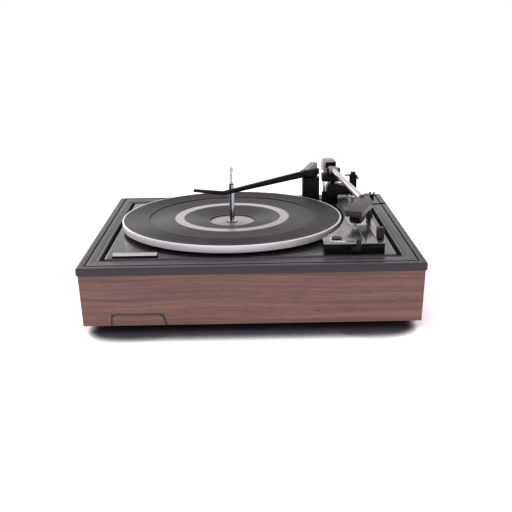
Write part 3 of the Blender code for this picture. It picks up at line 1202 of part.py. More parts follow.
# Control island with its knobs and levers
def build_controls():
    plate_bottom = PANEL_TOP_Z - PANEL_PLATE_THICKNESS
    body_top = plate_bottom - SEAT_GAP
    body_bottom = DECK_TOP_Z + SEAT_GAP
    body = outline("control_body", [panel_outline(PANEL_PLATE_OVERHANG)], body_bottom, body_top,
                   "black_plastic")
    plate = outline("control_plate", [panel_outline(0.0)], plate_bottom, PANEL_TOP_Z, "panel_metal")
    for x in (CHANNEL_LEFT_X, CHANNEL_RIGHT_X):
        fuse(plate, block("channel_rib", (x - RIB_WIDTH / 2, PANEL_FRONT_Y + RIB_WIDTH,
                                          PANEL_TOP_Z - PANEL_PLATE_THICKNESS / 2),
                          (x + RIB_WIDTH / 2, CHANNEL_BACK_Y, PANEL_TOP_Z + RIB_HEIGHT),
                          "panel_metal", collection=CUTTERS))

    knob_bottom = PANEL_TOP_Z + SEAT_GAP
    knob_top = knob_bottom + SPEED_KNOB_HEIGHT
    shaft_bottom = knob_bottom - SPEED_SHAFT_DEPTH
    soft = SPEED_KNOB_ROUND
    profile = [(0.0, knob_top), (SPEED_KNOB_RADIUS - soft, knob_top), (SPEED_KNOB_RADIUS, knob_top - soft),
               (SPEED_KNOB_RADIUS, knob_bottom), (SPEED_SHAFT_RADIUS, knob_bottom),
               (SPEED_SHAFT_RADIUS, shaft_bottom), (0.0, shaft_bottom)]
    centre = (SPEED_KNOB_X, SPEED_KNOB_Y, 0)
    knob = turned("speed_knob", profile, centre, "black_plastic", MEDIUM_STEPS)
    slot_l, slot_w = SPEED_KNOB_SLOT_LENGTH / 2, SPEED_KNOB_SLOT / 2
    cut(knob, block("knob_slot", (SPEED_KNOB_X - slot_l, SPEED_KNOB_Y - slot_w,
                                  knob_top - SPEED_KNOB_SLOT_DEPTH),
                    (SPEED_KNOB_X + slot_l, SPEED_KNOB_Y + slot_w, knob_top + CUT_OVERRUN),
                    "black_plastic", collection=CUTTERS))
    hang("speed_knob_axis", (SPEED_KNOB_X, SPEED_KNOB_Y, PANEL_TOP_Z), knob)
    dial_bottom = PANEL_TOP_Z + SEAT_GAP
    stem_holes = ((SPEED_KNOB_X, SPEED_KNOB_Y, SPEED_SHAFT_RADIUS, shaft_bottom),
                  (DIAL_X, DIAL_Y, DIAL_STEM_RADIUS, dial_bottom - DIAL_STEM_DEPTH))
    for x, y, radius, bottom in stem_holes:
        for target in (body, plate):
            cut(target, outline("stem_hole", [circle_points((x, y), radius + RUN_GAP, SMALL_STEPS)],
                                bottom - RUN_GAP, PANEL_TOP_Z + CUT_OVERRUN, "panel_metal",
                                collection=CUTTERS))

    teeth = gear_points((DIAL_X, DIAL_Y), DIAL_RADIUS - DIAL_KNURL_DEPTH, DIAL_KNURL_DEPTH, DIAL_KNURLS)
    dial = outline("anti_skate_dial", [teeth], dial_bottom, dial_bottom + DIAL_HEIGHT, "panel_metal")
    fuse(dial, turned("dial_stem", disc_profile(DIAL_STEM_RADIUS, dial_bottom - DIAL_STEM_DEPTH,
                                                dial_bottom + SEAT_GAP), (DIAL_X, DIAL_Y, 0),
                      "panel_metal", SMALL_STEPS, collection=CUTTERS))
    hang("dial_axis", (DIAL_X, DIAL_Y, PANEL_TOP_Z), dial)

    half_w, half_d = FUNCTION_WIDTH / 2, FUNCTION_DEPTH / 2
    stem_w, stem_l = FUNCTION_STEM_WIDTH / 2, FUNCTION_STEM_LENGTH / 2
    stem_bottom = PANEL_TOP_Z - FUNCTION_STEM_DEPTH
    function = block("function_knob", (FUNCTION_X - half_w, FUNCTION_Y - half_d, knob_bottom),
                     (FUNCTION_X + half_w, FUNCTION_Y + half_d, knob_bottom + FUNCTION_HEIGHT),
                     "black_plastic", FUNCTION_ROUND, 1)
    fuse(function, block("function_stem", (FUNCTION_X - stem_w, FUNCTION_Y - stem_l, stem_bottom),
                         (FUNCTION_X + stem_w, FUNCTION_Y + stem_l, knob_bottom + FUNCTION_HEIGHT / 2),
                         "black_plastic", collection=CUTTERS))
    hang("function_axis", (FUNCTION_X, FUNCTION_Y, PANEL_TOP_Z), function)
    for target in (body, plate):
        cut(target, block("function_slot", (FUNCTION_X - stem_w - RUN_GAP, FUNCTION_Y - stem_l - RUN_GAP,
                                            stem_bottom - RUN_GAP),
                          (FUNCTION_X + stem_w + RUN_GAP,
                           FUNCTION_Y + stem_l + FUNCTION_TRAVEL + RUN_GAP,
                           PANEL_TOP_Z + CUT_OVERRUN), "panel_metal", collection=CUTTERS))

    back = PANEL_FRONT_Y - SIZE_LEVER_FRONT_GAP
    front = back - SIZE_LEVER_THICKNESS
    hub_z = DECK_TOP_Z + SIZE_LEVER_Z
    stand = Matrix.Translation((SIZE_LEVER_X, 0, hub_z)) @ Matrix.Rotation(QUARTER_TURN, 4, "X")
    hub = SIZE_LEVER_HUB_RADIUS
    reach, width = SIZE_LEVER_REACH, SIZE_LEVER_WIDTH
    inner, outer = reach - width / 2, reach + width / 2
    foot, soft, rise = SIZE_LEVER_FOOT, SIZE_LEVER_ROUND, SIZE_LEVER_RISE
    points = [(-hub, soft - foot), (soft - hub, -foot), (outer - soft, -foot), (outer, soft - foot),
              (outer, rise - soft), (outer - soft, rise), (inner + soft, rise), (inner, rise - soft),
              (inner, hub), (soft - hub, hub), (-hub, hub - soft)]
    lever = outline("size_lever", [points], -back, -front, "black_plastic", turn=stand)
    turned_back = Matrix.Rotation(QUARTER_TURN, 4, "X")
    shaft_end = SIZE_SHAFT_DEPTH + SIZE_LEVER_FRONT_GAP
    fuse(lever, turned("size_shaft", disc_profile(SIZE_SHAFT_RADIUS, -shaft_end,
                                                  SIZE_LEVER_THICKNESS / 2),
                       (SIZE_LEVER_X, back, hub_z), "black_plastic", SMALL_STEPS,
                       turn=turned_back, collection=CUTTERS))
    cut(body, turned("size_hole", disc_profile(SIZE_SHAFT_RADIUS + RUN_GAP,
                                               -shaft_end - RUN_GAP, CUT_OVERRUN),
                     (SIZE_LEVER_X, back, hub_z), "black_plastic", SMALL_STEPS,
                     turn=turned_back, collection=CUTTERS))
    hang("size_lever_axis", (SIZE_LEVER_X, back, hub_z), lever)

    left, badge_front = DECK_BOUNDS[0] + BADGE_INSET_X, DECK_BOUNDS[2] + BADGE_INSET_Y
    right = left + BADGE_LENGTH
    bottom = DECK_TOP_Z + SEAT_GAP
    profile = [(0.0, 0.0), (BADGE_DEPTH, 0.0), (BADGE_DEPTH, BADGE_RISE), (0.0, BADGE_FRONT_RISE)]
    sideways = (Matrix.Translation((0, badge_front, bottom)) @ Matrix.Rotation(QUARTER_TURN, 4, "Z")
                @ Matrix.Rotation(QUARTER_TURN, 4, "X"))
    outline("badge_backing", [profile], left, right, "black_plastic", turn=sideways)
    slope = math.atan2(BADGE_RISE - BADGE_FRONT_RISE, BADGE_DEPTH)
    face = math.hypot(BADGE_RISE - BADGE_FRONT_RISE, BADGE_DEPTH)
    border = BADGE_BACKING_BORDER
    plate_turn = (Matrix.Translation((0, badge_front, bottom + BADGE_FRONT_RISE))
                  @ Matrix.Rotation(slope, 4, "X"))
    outline("badge_plate", [[(left + border, border), (right - border, border),
                             (right - border, face - border), (left + border, face - border)]],
            SEAT_GAP, SEAT_GAP + BADGE_PLATE_THICKNESS, "panel_metal", turn=plate_turn)


# Overarm on a lifting shaft inside its post
def build_overarm():
    base = DECK_TOP_Z
    half = OVERARM_POST_SIDE / 2
    centre = Vector((OVERARM_POST_X, OVERARM_POST_Y, 0))
    bounds = (centre.x - half, centre.x + half, centre.y - half, centre.y + half)
    post_top = base + OVERARM_POST_HEIGHT
    bore_loop = circle_points(centre, OVERARM_SHAFT_RADIUS + RUN_GAP, MEDIUM_STEPS)
    post = outline("overarm_post", [rounded_rectangle(bounds, OVERARM_POST_ROUND)],
                   base + SEAT_GAP, post_top, "black_plastic")
    shaft_bottom = base + SEAT_GAP + OVERARM_POST_FLOOR + SEAT_GAP
    cut(post, outline("post_bore", [bore_loop], shaft_bottom - SEAT_GAP, post_top + CUT_OVERRUN,
                      "black_plastic", collection=CUTTERS))

    flange_bottom = post_top + SEAT_GAP
    flange_top = flange_bottom + OVERARM_FLANGE_HEIGHT
    pin_top = flange_top + OVERARM_PIN_HEIGHT
    profile = [(0.0, pin_top), (OVERARM_PIN_RADIUS, pin_top), (OVERARM_PIN_RADIUS, flange_top),
               (OVERARM_FLANGE_RADIUS, flange_top), (OVERARM_FLANGE_RADIUS, flange_bottom),
               (OVERARM_SHAFT_RADIUS, flange_bottom), (OVERARM_SHAFT_RADIUS, shaft_bottom),
               (0.0, shaft_bottom)]
    shaft = turned("overarm_shaft", profile, centre, "black_plastic", MEDIUM_STEPS)
    hang("overarm_lift_axis", (centre.x, centre.y, post_top), shaft)

    bend = Vector((OVERARM_BEND_X, OVERARM_BEND_Y, 0))
    tip = Vector((OVERARM_TIP_X, OVERARM_TIP_Y, 0))
    along = (bend - centre).normalized()
    out = (tip - bend).normalized()
    corner = (along + out).normalized()
    top = base + OVERARM_TOP
    root_bottom = flange_top + SEAT_GAP
    blade, fine = OVERARM_BLADE_WIDTH / 2, OVERARM_TIP_WIDTH / 2
    tip_top = top - OVERARM_TIP_DROP
    corner_bottom = top - OVERARM_DEPTH_AT_BEND
    before, after = bend - along * blade, bend + out * blade
    stations = (
        (centre - along * OVERARM_ROOT_TAIL, along, OVERARM_TAIL_WIDTH / 2, root_bottom, top),
        (centre + along * OVERARM_ROOT_TAIL, along, OVERARM_ROOT_WIDTH / 2, root_bottom, top),
        (centre + along * OVERARM_SHOULDER, along, blade, top - OVERARM_DEPTH_AT_SHOULDER, top),
        (before, along, blade, corner_bottom, top),
        (bend, corner, blade, corner_bottom, top),
        (after, out, blade, corner_bottom, top),
        (tip, out, fine, tip_top - OVERARM_DEPTH_AT_TIP, tip_top),
    )
    rings = []
    for point, direction, width, low, high in stations:
        side = Vector((-direction.y, direction.x, 0)) * width
        soft = OVERARM_EDGE_ROUND
        inner = side * ((width - soft) / width)
        rings.append([
            (*(point - inner).xy, low), (*(point + inner).xy, low),
            (*(point + side).xy, low + soft), (*(point + side).xy, high - soft),
            (*(point + inner).xy, high), (*(point - inner).xy, high),
            (*(point - side).xy, high - soft), (*(point - side).xy, low + soft)])
    overarm = loft("overarm", rings, "black_plastic")
    cut(overarm, outline("overarm_bore", [circle_points(centre, OVERARM_PIN_RADIUS + RUN_GAP,
                                                        SMALL_STEPS)],
                         root_bottom - CUT_OVERRUN, pin_top + RUN_GAP, "black_plastic",
                         collection=CUTTERS))
    points = [(CAP_TAIL - CAP_LENGTH * (1 - length), CAP_HEIGHT * height)
              for length, height in zip(CAP_LENGTH_SHARES, CAP_HEIGHT_SHARES)]
    turn = (Matrix.Rotation(math.atan2(-along.y, -along.x), 4, "Z")
            @ Matrix.Rotation(QUARTER_TURN, 4, "X"))
    cap = outline("overarm_cap", [points], -CAP_WIDTH / 2, CAP_WIDTH / 2, "grey_plastic",
                  turn=Matrix.Translation((centre.x, centre.y, top + SEAT_GAP)) @ turn)
    hang("overarm_axis", (centre.x, centre.y, top), overarm, cap)


# Tonearm pivot: pedestal, turning carriage and cue pin
def build_pivot():
    base = DECK_TOP_Z
    plate_top = PANEL_TOP_Z + SEAT_GAP
    low_y, high_y = PIVOT_Y - PEDESTAL_DEPTH / 2, PIVOT_Y + PEDESTAL_DEPTH / 2
    foot_bottom = base + SEAT_GAP
    dome = PEDESTAL_DOME_RADIUS
    top = PEDESTAL_TOP
    points = [(PIVOT_X - PEDESTAL_LEFT, plate_top - base), (PIVOT_X + PEDESTAL_RIGHT, plate_top - base),
              (PIVOT_X + PEDESTAL_RIGHT, PEDESTAL_END_TOP)]
    for index in range(PEDESTAL_DOME_POINTS + 1):
        angle = QUARTER_TURN * (1 + index / PEDESTAL_DOME_POINTS)
        points.append((PIVOT_X - PEDESTAL_LEFT + dome + dome * math.cos(angle),
                       top - dome + dome * math.sin(angle)))
    stand = Matrix.Translation((0, 0, base)) @ Matrix.Rotation(QUARTER_TURN, 4, "X")
    pedestal = outline("pivot_pedestal", [points], -high_y, -low_y, "black_plastic", turn=stand)
    fuse(pedestal, block("pedestal_foot", (PIVOT_X - PEDESTAL_BASE_LEFT, PIVOT_Y - PEDESTAL_BASE_FRONT,
                                           foot_bottom),
                         (PIVOT_X + PEDESTAL_BASE_RIGHT, PIVOT_Y + PEDESTAL_BASE_BACK,
                          plate_top + SEAT_GAP * 4), "black_plastic", collection=CUTTERS))
    shaft_bottom = base + PIVOT_SHAFT_BOTTOM
    shaft_hole = circle_points((PIVOT_X, PIVOT_Y), PIVOT_SHAFT_RADIUS + RUN_GAP, SMALL_STEPS)
    cut(pedestal, outline("pivot_bore", [shaft_hole], shaft_bottom - RUN_GAP,
                          base + PEDESTAL_TOP + CUT_OVERRUN, "black_plastic", collection=CUTTERS))

    block_low, block_high = base + CARRIAGE_BOTTOM, base + CARRIAGE_TOP
    left, right = PIVOT_X - CARRIAGE_LEFT, PIVOT_X + CARRIAGE_RIGHT
    front, back = PIVOT_Y - CARRIAGE_HALF_DEPTH, PIVOT_Y + CARRIAGE_HALF_DEPTH
    shoulder = left + CARRIAGE_SHOULDER_WIDTH
    soft = CARRIAGE_ROUND
    points = [(left, CARRIAGE_BOTTOM + soft), (left + soft, CARRIAGE_BOTTOM),
              (right - soft, CARRIAGE_BOTTOM), (right, CARRIAGE_BOTTOM + soft),
              (right, CARRIAGE_TOP - soft), (right - soft, CARRIAGE_TOP), (shoulder + soft, CARRIAGE_TOP),
              (shoulder, CARRIAGE_SHOULDER_TOP), (left + soft, CARRIAGE_SHOULDER_TOP),
              (left, CARRIAGE_SHOULDER_TOP - soft)]
    carriage = outline("arm_carriage", [points], -back, -front, "black_plastic", turn=stand)
    axis_turn = Matrix.Rotation(ARM_HEADING, 4, "Z") @ Matrix.Rotation(QUARTER_TURN, 4, "Y")
    lug_foot = block_high - PIVOT.z - CARRIAGE_ROUND
    lug = [(-LUG_RADIUS, lug_foot), (LUG_RADIUS, lug_foot)]
    lug += [(LUG_RADIUS * math.cos(angle), LUG_RADIUS * math.sin(angle))
            for angle in (math.pi * step / LUG_POINTS for step in range(LUG_POINTS + 1))]
    lug_turn = (Matrix.Translation(PIVOT) @ Matrix.Rotation(ARM_HEADING, 4, "Z")
                @ Matrix.Rotation(QUARTER_TURN, 4, "Z") @ Matrix.Rotation(QUARTER_TURN, 4, "X"))
    for near in (LUG_INNER, -LUG_INNER - LUG_THICKNESS):
        fuse(carriage, outline("lug", [lug], near, near + LUG_THICKNESS, "black_plastic",
                               turn=lug_turn, collection=CUTTERS))
    cut(carriage, turned("lug_bore", disc_profile(PIVOT_PIN_RADIUS + RUN_GAP, -CARRIAGE_LEFT,
                                                  CARRIAGE_LEFT), PIVOT, "black_plastic", SMALL_STEPS,
                         turn=axis_turn, collection=CUTTERS))
    fuse(carriage, turned("carriage_shaft", disc_profile(PIVOT_SHAFT_RADIUS, shaft_bottom,
                                                         (block_low + block_high) / 2),
                          (PIVOT_X, PIVOT_Y, 0), "black_plastic", SMALL_STEPS, collection=CUTTERS))
    hang("arm_turn_axis", (PIVOT_X, PIVOT_Y, block_low), carriage)

    cue_y = PIVOT_Y + CUE_PIN_Y_SHIFT
    sleeve_bottom, sleeve_top = base + SEAT_GAP, base + CUE_SLEEVE_TOP
    pin_bottom = sleeve_top - CUE_PIN_SINK
    cue_radius = CUE_PIN_RADIUS + RUN_GAP
    sleeve = disc_profile(CUE_SLEEVE_RADIUS, sleeve_bottom, sleeve_top)
    fuse(pedestal, turned("cue_sleeve", sleeve, (CUE_PIN_X, cue_y, 0), "black_plastic", SMALL_STEPS,
                          collection=CUTTERS))
    cut(pedestal, turned("cue_bore", disc_profile(cue_radius, pin_bottom - RUN_GAP,
                                                  sleeve_top + CUT_OVERRUN),
                         (CUE_PIN_X, cue_y, 0), "black_plastic", SMALL_STEPS, collection=CUTTERS))
    pin = turned("cue_pin", disc_profile(CUE_PIN_RADIUS, pin_bottom, base + CUE_PIN_TOP),
                 (CUE_PIN_X, cue_y, 0), "bright_steel", SMALL_STEPS)
    hang("cue_pin_axis", (CUE_PIN_X, cue_y, base), pin)

    bracket_right = BRACKET_LEFT_X + BRACKET_WIDTH
    bracket_back = BRACKET_FRONT_Y + BRACKET_DEPTH
    bracket_top = base + BRACKET_TOP
    bracket = block("cue_bracket", (BRACKET_LEFT_X, BRACKET_FRONT_Y, plate_top),
                    (bracket_right, bracket_back, bracket_top), "black_plastic", CARRIAGE_ROUND, 1)
    middle = (BRACKET_LEFT_X + BRACKET_WIDTH / 2, BRACKET_FRONT_Y + BRACKET_DEPTH / 2)
    fuse(bracket, turned("bracket_knob", disc_profile(BRACKET_KNOB_RADIUS, bracket_top - SEAT_GAP * 5,
                                                      bracket_top + BRACKET_KNOB_HEIGHT),
                         (*middle, 0), "black_plastic", SMALL_STEPS, collection=CUTTERS))
    fuse(bracket, block("bracket_arm", (BRACKET_LEFT_X - BRACKET_ARM_REACH, BRACKET_FRONT_Y,
                                        bracket_top - BRACKET_ARM_THICKNESS),
                        (middle[0], BRACKET_FRONT_Y + BRACKET_ARM_DEPTH, bracket_top - SEAT_GAP),
                        "black_plastic", collection=CUTTERS))
    lever_z = base + CUE_LEVER_Z
    sideways = Matrix.Rotation(QUARTER_TURN, 4, "Y")
    lever_left = bracket_right + SEAT_GAP
    origin = (lever_left, middle[1], lever_z)
    lever = turned("cue_lever", disc_profile(CUE_LEVER_RADIUS, 0.0, CUE_LEVER_THICKNESS), origin,
                   "bright_steel", SMALL_STEPS, turn=sideways)
    fuse(lever, turned("lever_pin", disc_profile(CUE_LEVER_PIN_RADIUS, -BRACKET_WIDTH / 2,
                                                 CUE_LEVER_THICKNESS / 2), origin, "bright_steel",
                       SMALL_STEPS, turn=sideways, collection=CUTTERS))
    fuse(lever, block("lever_blade", (lever_left, middle[1] - CUE_LEVER_LENGTH,
                                      lever_z - CUE_LEVER_WIDTH / 2),
                      (lever_left + CUE_LEVER_THICKNESS, middle[1], lever_z + CUE_LEVER_WIDTH / 2),
                      "bright_steel", collection=CUTTERS))
    cut(bracket, turned("lever_hole", disc_profile(CUE_LEVER_PIN_RADIUS + RUN_GAP,
                                                   -BRACKET_WIDTH / 2 - RUN_GAP, CUT_OVERRUN), origin,
                        "black_plastic", SMALL_STEPS, turn=sideways, collection=CUTTERS))
    hang("cue_lever_axis", origin, lever)


# Tube, headshell, cartridge, finger lift and counterweight
def build_arm():
    arm_turn = Matrix((ARM_RIGHT, -ARM_FORWARD, ARM_RIGHT.cross(-ARM_FORWARD))).transposed().to_4x4()
    arm_place = Matrix.Translation(PIVOT) @ arm_turn
    tail, head = PIVOT - ARM_FORWARD * TUBE_TAIL, PIVOT + ARM_FORWARD * TUBE_LENGTH
    widening = TUBE_HEAD_RADIUS / TUBE_RADIUS
    tube = rod("tonearm_tube", [tail, PIVOT + ARM_FORWARD * TUBE_TAPER_START, head], TUBE_RADIUS,
               "bright_steel", 4, radii=[1.0, 1.0, widening])
    overrun = ARM_FORWARD * CUT_OVERRUN
    cut(tube, rod("tube_bore", [tail - overrun, head + overrun], TUBE_RADIUS - TUBE_WALL,
                  "bright_steel", 2, collection=CUTTERS))

    across_turn = Matrix.Rotation(ARM_HEADING, 4, "Z") @ Matrix.Rotation(QUARTER_TURN, 4, "Y")
    width, pin_end = SADDLE_HALF_WIDTH, LUG_INNER + PIVOT_PIN_REACH
    soft = SADDLE_EDGE
    profile = [(0.0, pin_end), (PIVOT_PIN_RADIUS, pin_end), (PIVOT_PIN_RADIUS, width),
               (SADDLE_RADIUS - soft, width), (SADDLE_RADIUS, width - soft),
               (SADDLE_RADIUS, -width + soft), (SADDLE_RADIUS - soft, -width),
               (PIVOT_PIN_RADIUS, -width), (PIVOT_PIN_RADIUS, -pin_end), (0.0, -pin_end)]
    saddle = turned("arm_saddle", profile, PIVOT, "grey_plastic", SMALL_STEPS, turn=across_turn)
    clearance = TUBE_RADIUS + SEAT_GAP
    cut(saddle, rod("saddle_bore", [PIVOT - ARM_FORWARD * SADDLE_RADIUS * 2,
                                    PIVOT + ARM_FORWARD * SADDLE_RADIUS * 2], clearance,
                    "grey_plastic", 4, collection=CUTTERS))

    half = COUNTERWEIGHT_SIDE / 2
    start, end = COUNTERWEIGHT_START, COUNTERWEIGHT_START + COUNTERWEIGHT_LENGTH
    shift = COUNTERWEIGHT_SHIFT
    weight = block("counterweight", (shift - half, start, -half), (shift + half, end, half), "grey_plastic",
                   COUNTERWEIGHT_ROUND, 3)
    weight.matrix_basis = arm_place
    recess = COUNTERWEIGHT_RECESS_SIDE / 2
    recess_cutter = block("weight_recess", (shift - recess, start - CUT_OVERRUN, -recess),
                          (shift + recess, start + COUNTERWEIGHT_RECESS_DEPTH, recess), "black_plastic",
                          collection=CUTTERS)
    recess_cutter.matrix_basis = arm_place
    bore = rod("weight_bore", [PIVOT, PIVOT - ARM_FORWARD * (TUBE_TAIL + SEAT_GAP)], clearance,
               "grey_plastic", 4, collection=CUTTERS)
    cut(weight, recess_cutter, bore)
    hang("weight_axis", PIVOT - ARM_FORWARD * start, weight)

    joint = PIVOT + ARM_FORWARD * TUBE_LENGTH
    right = Vector((math.cos(SHELL_TURN), -math.sin(SHELL_TURN), 0))
    back = Vector((math.sin(SHELL_TURN) * math.cos(ARM_SLOPE),
                   math.cos(SHELL_TURN) * math.cos(ARM_SLOPE), math.sin(ARM_SLOPE)))
    shell_turn = Matrix((right, back, right.cross(back))).transposed().to_4x4()
    shell_place = Matrix.Translation(joint) @ shell_turn

    top = SHELL_TOP_RISE
    bottom = top - SHELL_HEIGHT
    points = [(SHELL_FRONT_LEFT, -SHELL_FRONT), (SHELL_RIGHT, -SHELL_FRONT),
              (SHELL_RIGHT, -SHELL_NOTCH_FORWARD), (SHELL_NOTCH_RIGHT, -SHELL_NOTCH_REAR),
              (SHELL_LEFT, -SHELL_REAR)]
    shell = outline("headshell", [points], bottom, top, "shell_plastic", turn=shell_place)
    bevel = shell.modifiers.new("Soft edges", "BEVEL")
    bevel.width = SHELL_EDGE_ROUND
    bevel.segments = 1
    bevel.limit_method = "ANGLE"
    wall, socket_end = SHELL_WALL, -SHELL_SOCKET_LENGTH
    room = [(SHELL_FRONT_LEFT + wall, wall - SHELL_FRONT), (SHELL_RIGHT - wall, wall - SHELL_FRONT),
            (SHELL_RIGHT - wall, -SHELL_NOTCH_FORWARD - wall), (SHELL_NOTCH_RIGHT, socket_end),
            (SHELL_LEFT + wall * 2, socket_end)]
    cut(shell, outline("shell_hollow", [room], bottom - CUT_OVERRUN, top - SHELL_WALL,
                       "shell_plastic", turn=shell_place, collection=CUTTERS))
    cut(shell, rod("shell_socket", [joint - ARM_FORWARD * SHELL_SOCKET_LENGTH,
                                    joint + ARM_FORWARD * SEAT_GAP], TUBE_HEAD_RADIUS + SEAT_GAP,
                   "shell_plastic", 4, collection=CUTTERS))

    left, rear = CARTRIDGE_LEFT, -CARTRIDGE_BACK
    front = rear - CARTRIDGE_LENGTH
    high = top - SHELL_WALL - SEAT_GAP
    low = high - CARTRIDGE_HEIGHT
    nose = CARTRIDGE_NOSE
    side_points = [(rear, high), (rear, low + nose), (rear - nose, low), (front + nose, low),
                   (front, low + nose), (front, high)]
    sidewise = shell_place @ Matrix.Rotation(QUARTER_TURN, 4, "Z") @ Matrix.Rotation(QUARTER_TURN, 4, "X")
    cartridge = outline("cartridge", [side_points], left, left + CARTRIDGE_WIDTH, "black_plastic",
                        turn=sidewise)
    centre = left + CARTRIDGE_WIDTH / 2
    pin_z = (high + low) / 2
    for index in range(CARTRIDGE_PIN_COUNT):
        x = centre + (index - (CARTRIDGE_PIN_COUNT - 1) / 2) * CARTRIDGE_PIN_PITCH
        ends = [shell_place @ Vector((x, rear - CARTRIDGE_PIN_LENGTH / 2, pin_z)),
                shell_place @ Vector((x, rear + CARTRIDGE_PIN_LENGTH, pin_z))]
        fuse(cartridge, rod("cartridge_pin", ends, CARTRIDGE_PIN_RADIUS, "brass", 0,
                            collection=CUTTERS))

    holder_top = low - SEAT_GAP
    holder_bottom = holder_top - STYLUS_HEIGHT
    holder_middle = (holder_top + holder_bottom) / 2
    tip_y = front + nose
    holder_points = [(tip_y + STYLUS_LENGTH, holder_top), (tip_y + STYLUS_LENGTH, holder_bottom),
                     (tip_y, holder_middle), (tip_y, holder_top)]
    stylus = outline("stylus", [holder_points], centre - STYLUS_WIDTH / 2, centre + STYLUS_WIDTH / 2,
                     "grey_plastic", turn=sidewise)
    tip_back = tip_y + STYLUS_TIP_LENGTH
    ends = [shell_place @ Vector((centre, tip_back, holder_middle)),
            shell_place @ Vector((centre, tip_back, holder_bottom - STYLUS_TIP_LENGTH / 2))]
    fuse(stylus, rod("stylus_tip", ends, STYLUS_TIP_RADIUS, "bright_steel", 1, collection=CUTTERS))

    lift_z = top - FINGER_DROP
    start_point = shell_place @ Vector((SHELL_RIGHT + SEAT_GAP, -FINGER_BACK, lift_z))
    sideways = Vector((1, 0, 0))
    finger = rod("finger_lift", [start_point, start_point + sideways * FINGER_LENGTH / 2,
                                 start_point + sideways * FINGER_LENGTH + Vector((0, 0, FINGER_TIP_RISE))],
                 FINGER_RADIUS, "black_plastic", 1)
    hang("arm_lift_axis", PIVOT, tube, saddle, shell, cartridge, stylus, finger)


# Arm rest post, clip post and the clip
def build_rest():
    plate_top = PANEL_TOP_Z + SEAT_GAP
    half = REST_SIDE / 2
    block("arm_rest_post", (REST_X - half, REST_Y - half, plate_top),
          (REST_X + half, REST_Y + half, DECK_TOP_Z + REST_TOP), "black_plastic", REST_ROUND, 1)

    base = DECK_TOP_Z
    radius = CLIP_POST_RADIUS
    fork_bottom, fork_top = base + FORK_BOTTOM, base + FORK_TOP
    post_top = base + CLIP_COLLAR_TOP
    profile = [(0.0, post_top), (CLIP_COLLAR_RADIUS, post_top),
               (CLIP_COLLAR_RADIUS, post_top - CLIP_COLLAR_HEIGHT),
               (radius, post_top - CLIP_COLLAR_HEIGHT * 2),
               (CLIP_POST_FOOT_RADIUS, base + SEAT_GAP), (0.0, base + SEAT_GAP)]
    post = turned("clip_post", profile, (CLIP_POST_X, CLIP_POST_Y, 0), "black_plastic", SMALL_STEPS)
    half, rise = FORK_WIDTH / 2, FORK_TOP - FORK_BOTTOM
    points = [(half * across, rise * up) for across, up in FORK_SHARES]
    stand = (Matrix.Translation((CLIP_POST_X, CLIP_POST_Y, fork_bottom))
             @ Matrix.Rotation(QUARTER_TURN, 4, "X"))
    fuse(post, outline("fork", [points], -FORK_DEPTH / 2, FORK_DEPTH / 2, "black_plastic", turn=stand,
                       collection=CUTTERS))
    pin = Vector((CLIP_POST_X - CLIP_PIN_SHIFT, CLIP_POST_Y - FORK_DEPTH / 2, fork_top - CLIP_PIN_DROP))
    forwards = Matrix.Rotation(QUARTER_TURN, 4, "X")
    depth = CLIP_PIN_SINK
    cut(post, turned("clip_hole", disc_profile(CLIP_PIN_RADIUS + RUN_GAP, -depth - RUN_GAP, CUT_OVERRUN),
                     pin, "black_plastic", SMALL_STEPS, turn=forwards, collection=CUTTERS))
    bar = CLIP_HEIGHT / 2
    low = (pin.x - CLIP_LENGTH, pin.y - RUN_GAP - CLIP_THICKNESS, pin.z - bar)
    high = (pin.x + bar, pin.y - RUN_GAP, pin.z + bar)
    clip = block("rest_clip", low, high, "grey_plastic")
    fuse(clip, turned("clip_pin", disc_profile(CLIP_PIN_RADIUS, -depth, RUN_GAP + CLIP_THICKNESS / 2),
                      pin, "grey_plastic", SMALL_STEPS, turn=forwards, collection=CUTTERS))
    hang("clip_axis", pin, clip)


build_plinth()
build_top_frame()
build_deck()
build_platter()
build_spindle()
build_drive()
build_controls()
build_overarm()
build_pivot()
build_arm()
build_rest()
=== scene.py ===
"""The looks of an automatic record changer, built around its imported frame.

Each sub-assembly is a class that builds its pieces and dresses them, and each finish is a frozen
dataclass that makes one material. Everything is in metres in the frame's own axes: +Z up, +X to
the listener's right, +Y to the back.
"""

import json
import logging
import math
from dataclasses import dataclass
from enum import Enum
from functools import cache
from typing import Callable

import bmesh
import bpy
from mathutils import Matrix, Vector


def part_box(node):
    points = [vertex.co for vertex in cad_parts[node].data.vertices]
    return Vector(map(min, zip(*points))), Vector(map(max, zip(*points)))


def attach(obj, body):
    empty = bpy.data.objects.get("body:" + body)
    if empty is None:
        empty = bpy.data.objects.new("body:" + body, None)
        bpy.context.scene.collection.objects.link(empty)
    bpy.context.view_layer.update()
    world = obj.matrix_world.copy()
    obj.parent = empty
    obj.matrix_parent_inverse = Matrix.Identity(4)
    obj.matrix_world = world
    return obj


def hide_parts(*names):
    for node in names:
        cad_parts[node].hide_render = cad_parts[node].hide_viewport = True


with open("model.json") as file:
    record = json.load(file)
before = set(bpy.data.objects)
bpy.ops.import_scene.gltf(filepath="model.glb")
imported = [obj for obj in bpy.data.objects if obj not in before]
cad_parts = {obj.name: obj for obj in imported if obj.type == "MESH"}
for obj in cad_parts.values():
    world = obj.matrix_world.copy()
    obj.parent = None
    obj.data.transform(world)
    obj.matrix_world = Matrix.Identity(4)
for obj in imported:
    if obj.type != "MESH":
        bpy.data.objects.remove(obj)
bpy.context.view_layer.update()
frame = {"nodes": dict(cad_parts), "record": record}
LOG = logging.getLogger("record_changer")

Triple = tuple[float, float, float]
Colour = Triple
Point = tuple[float, float]
Fitting = tuple[str, str, float]
Node = bpy.types.Node
Socket = bpy.types.NodeSocket
Value = Socket | float | Triple | Vector

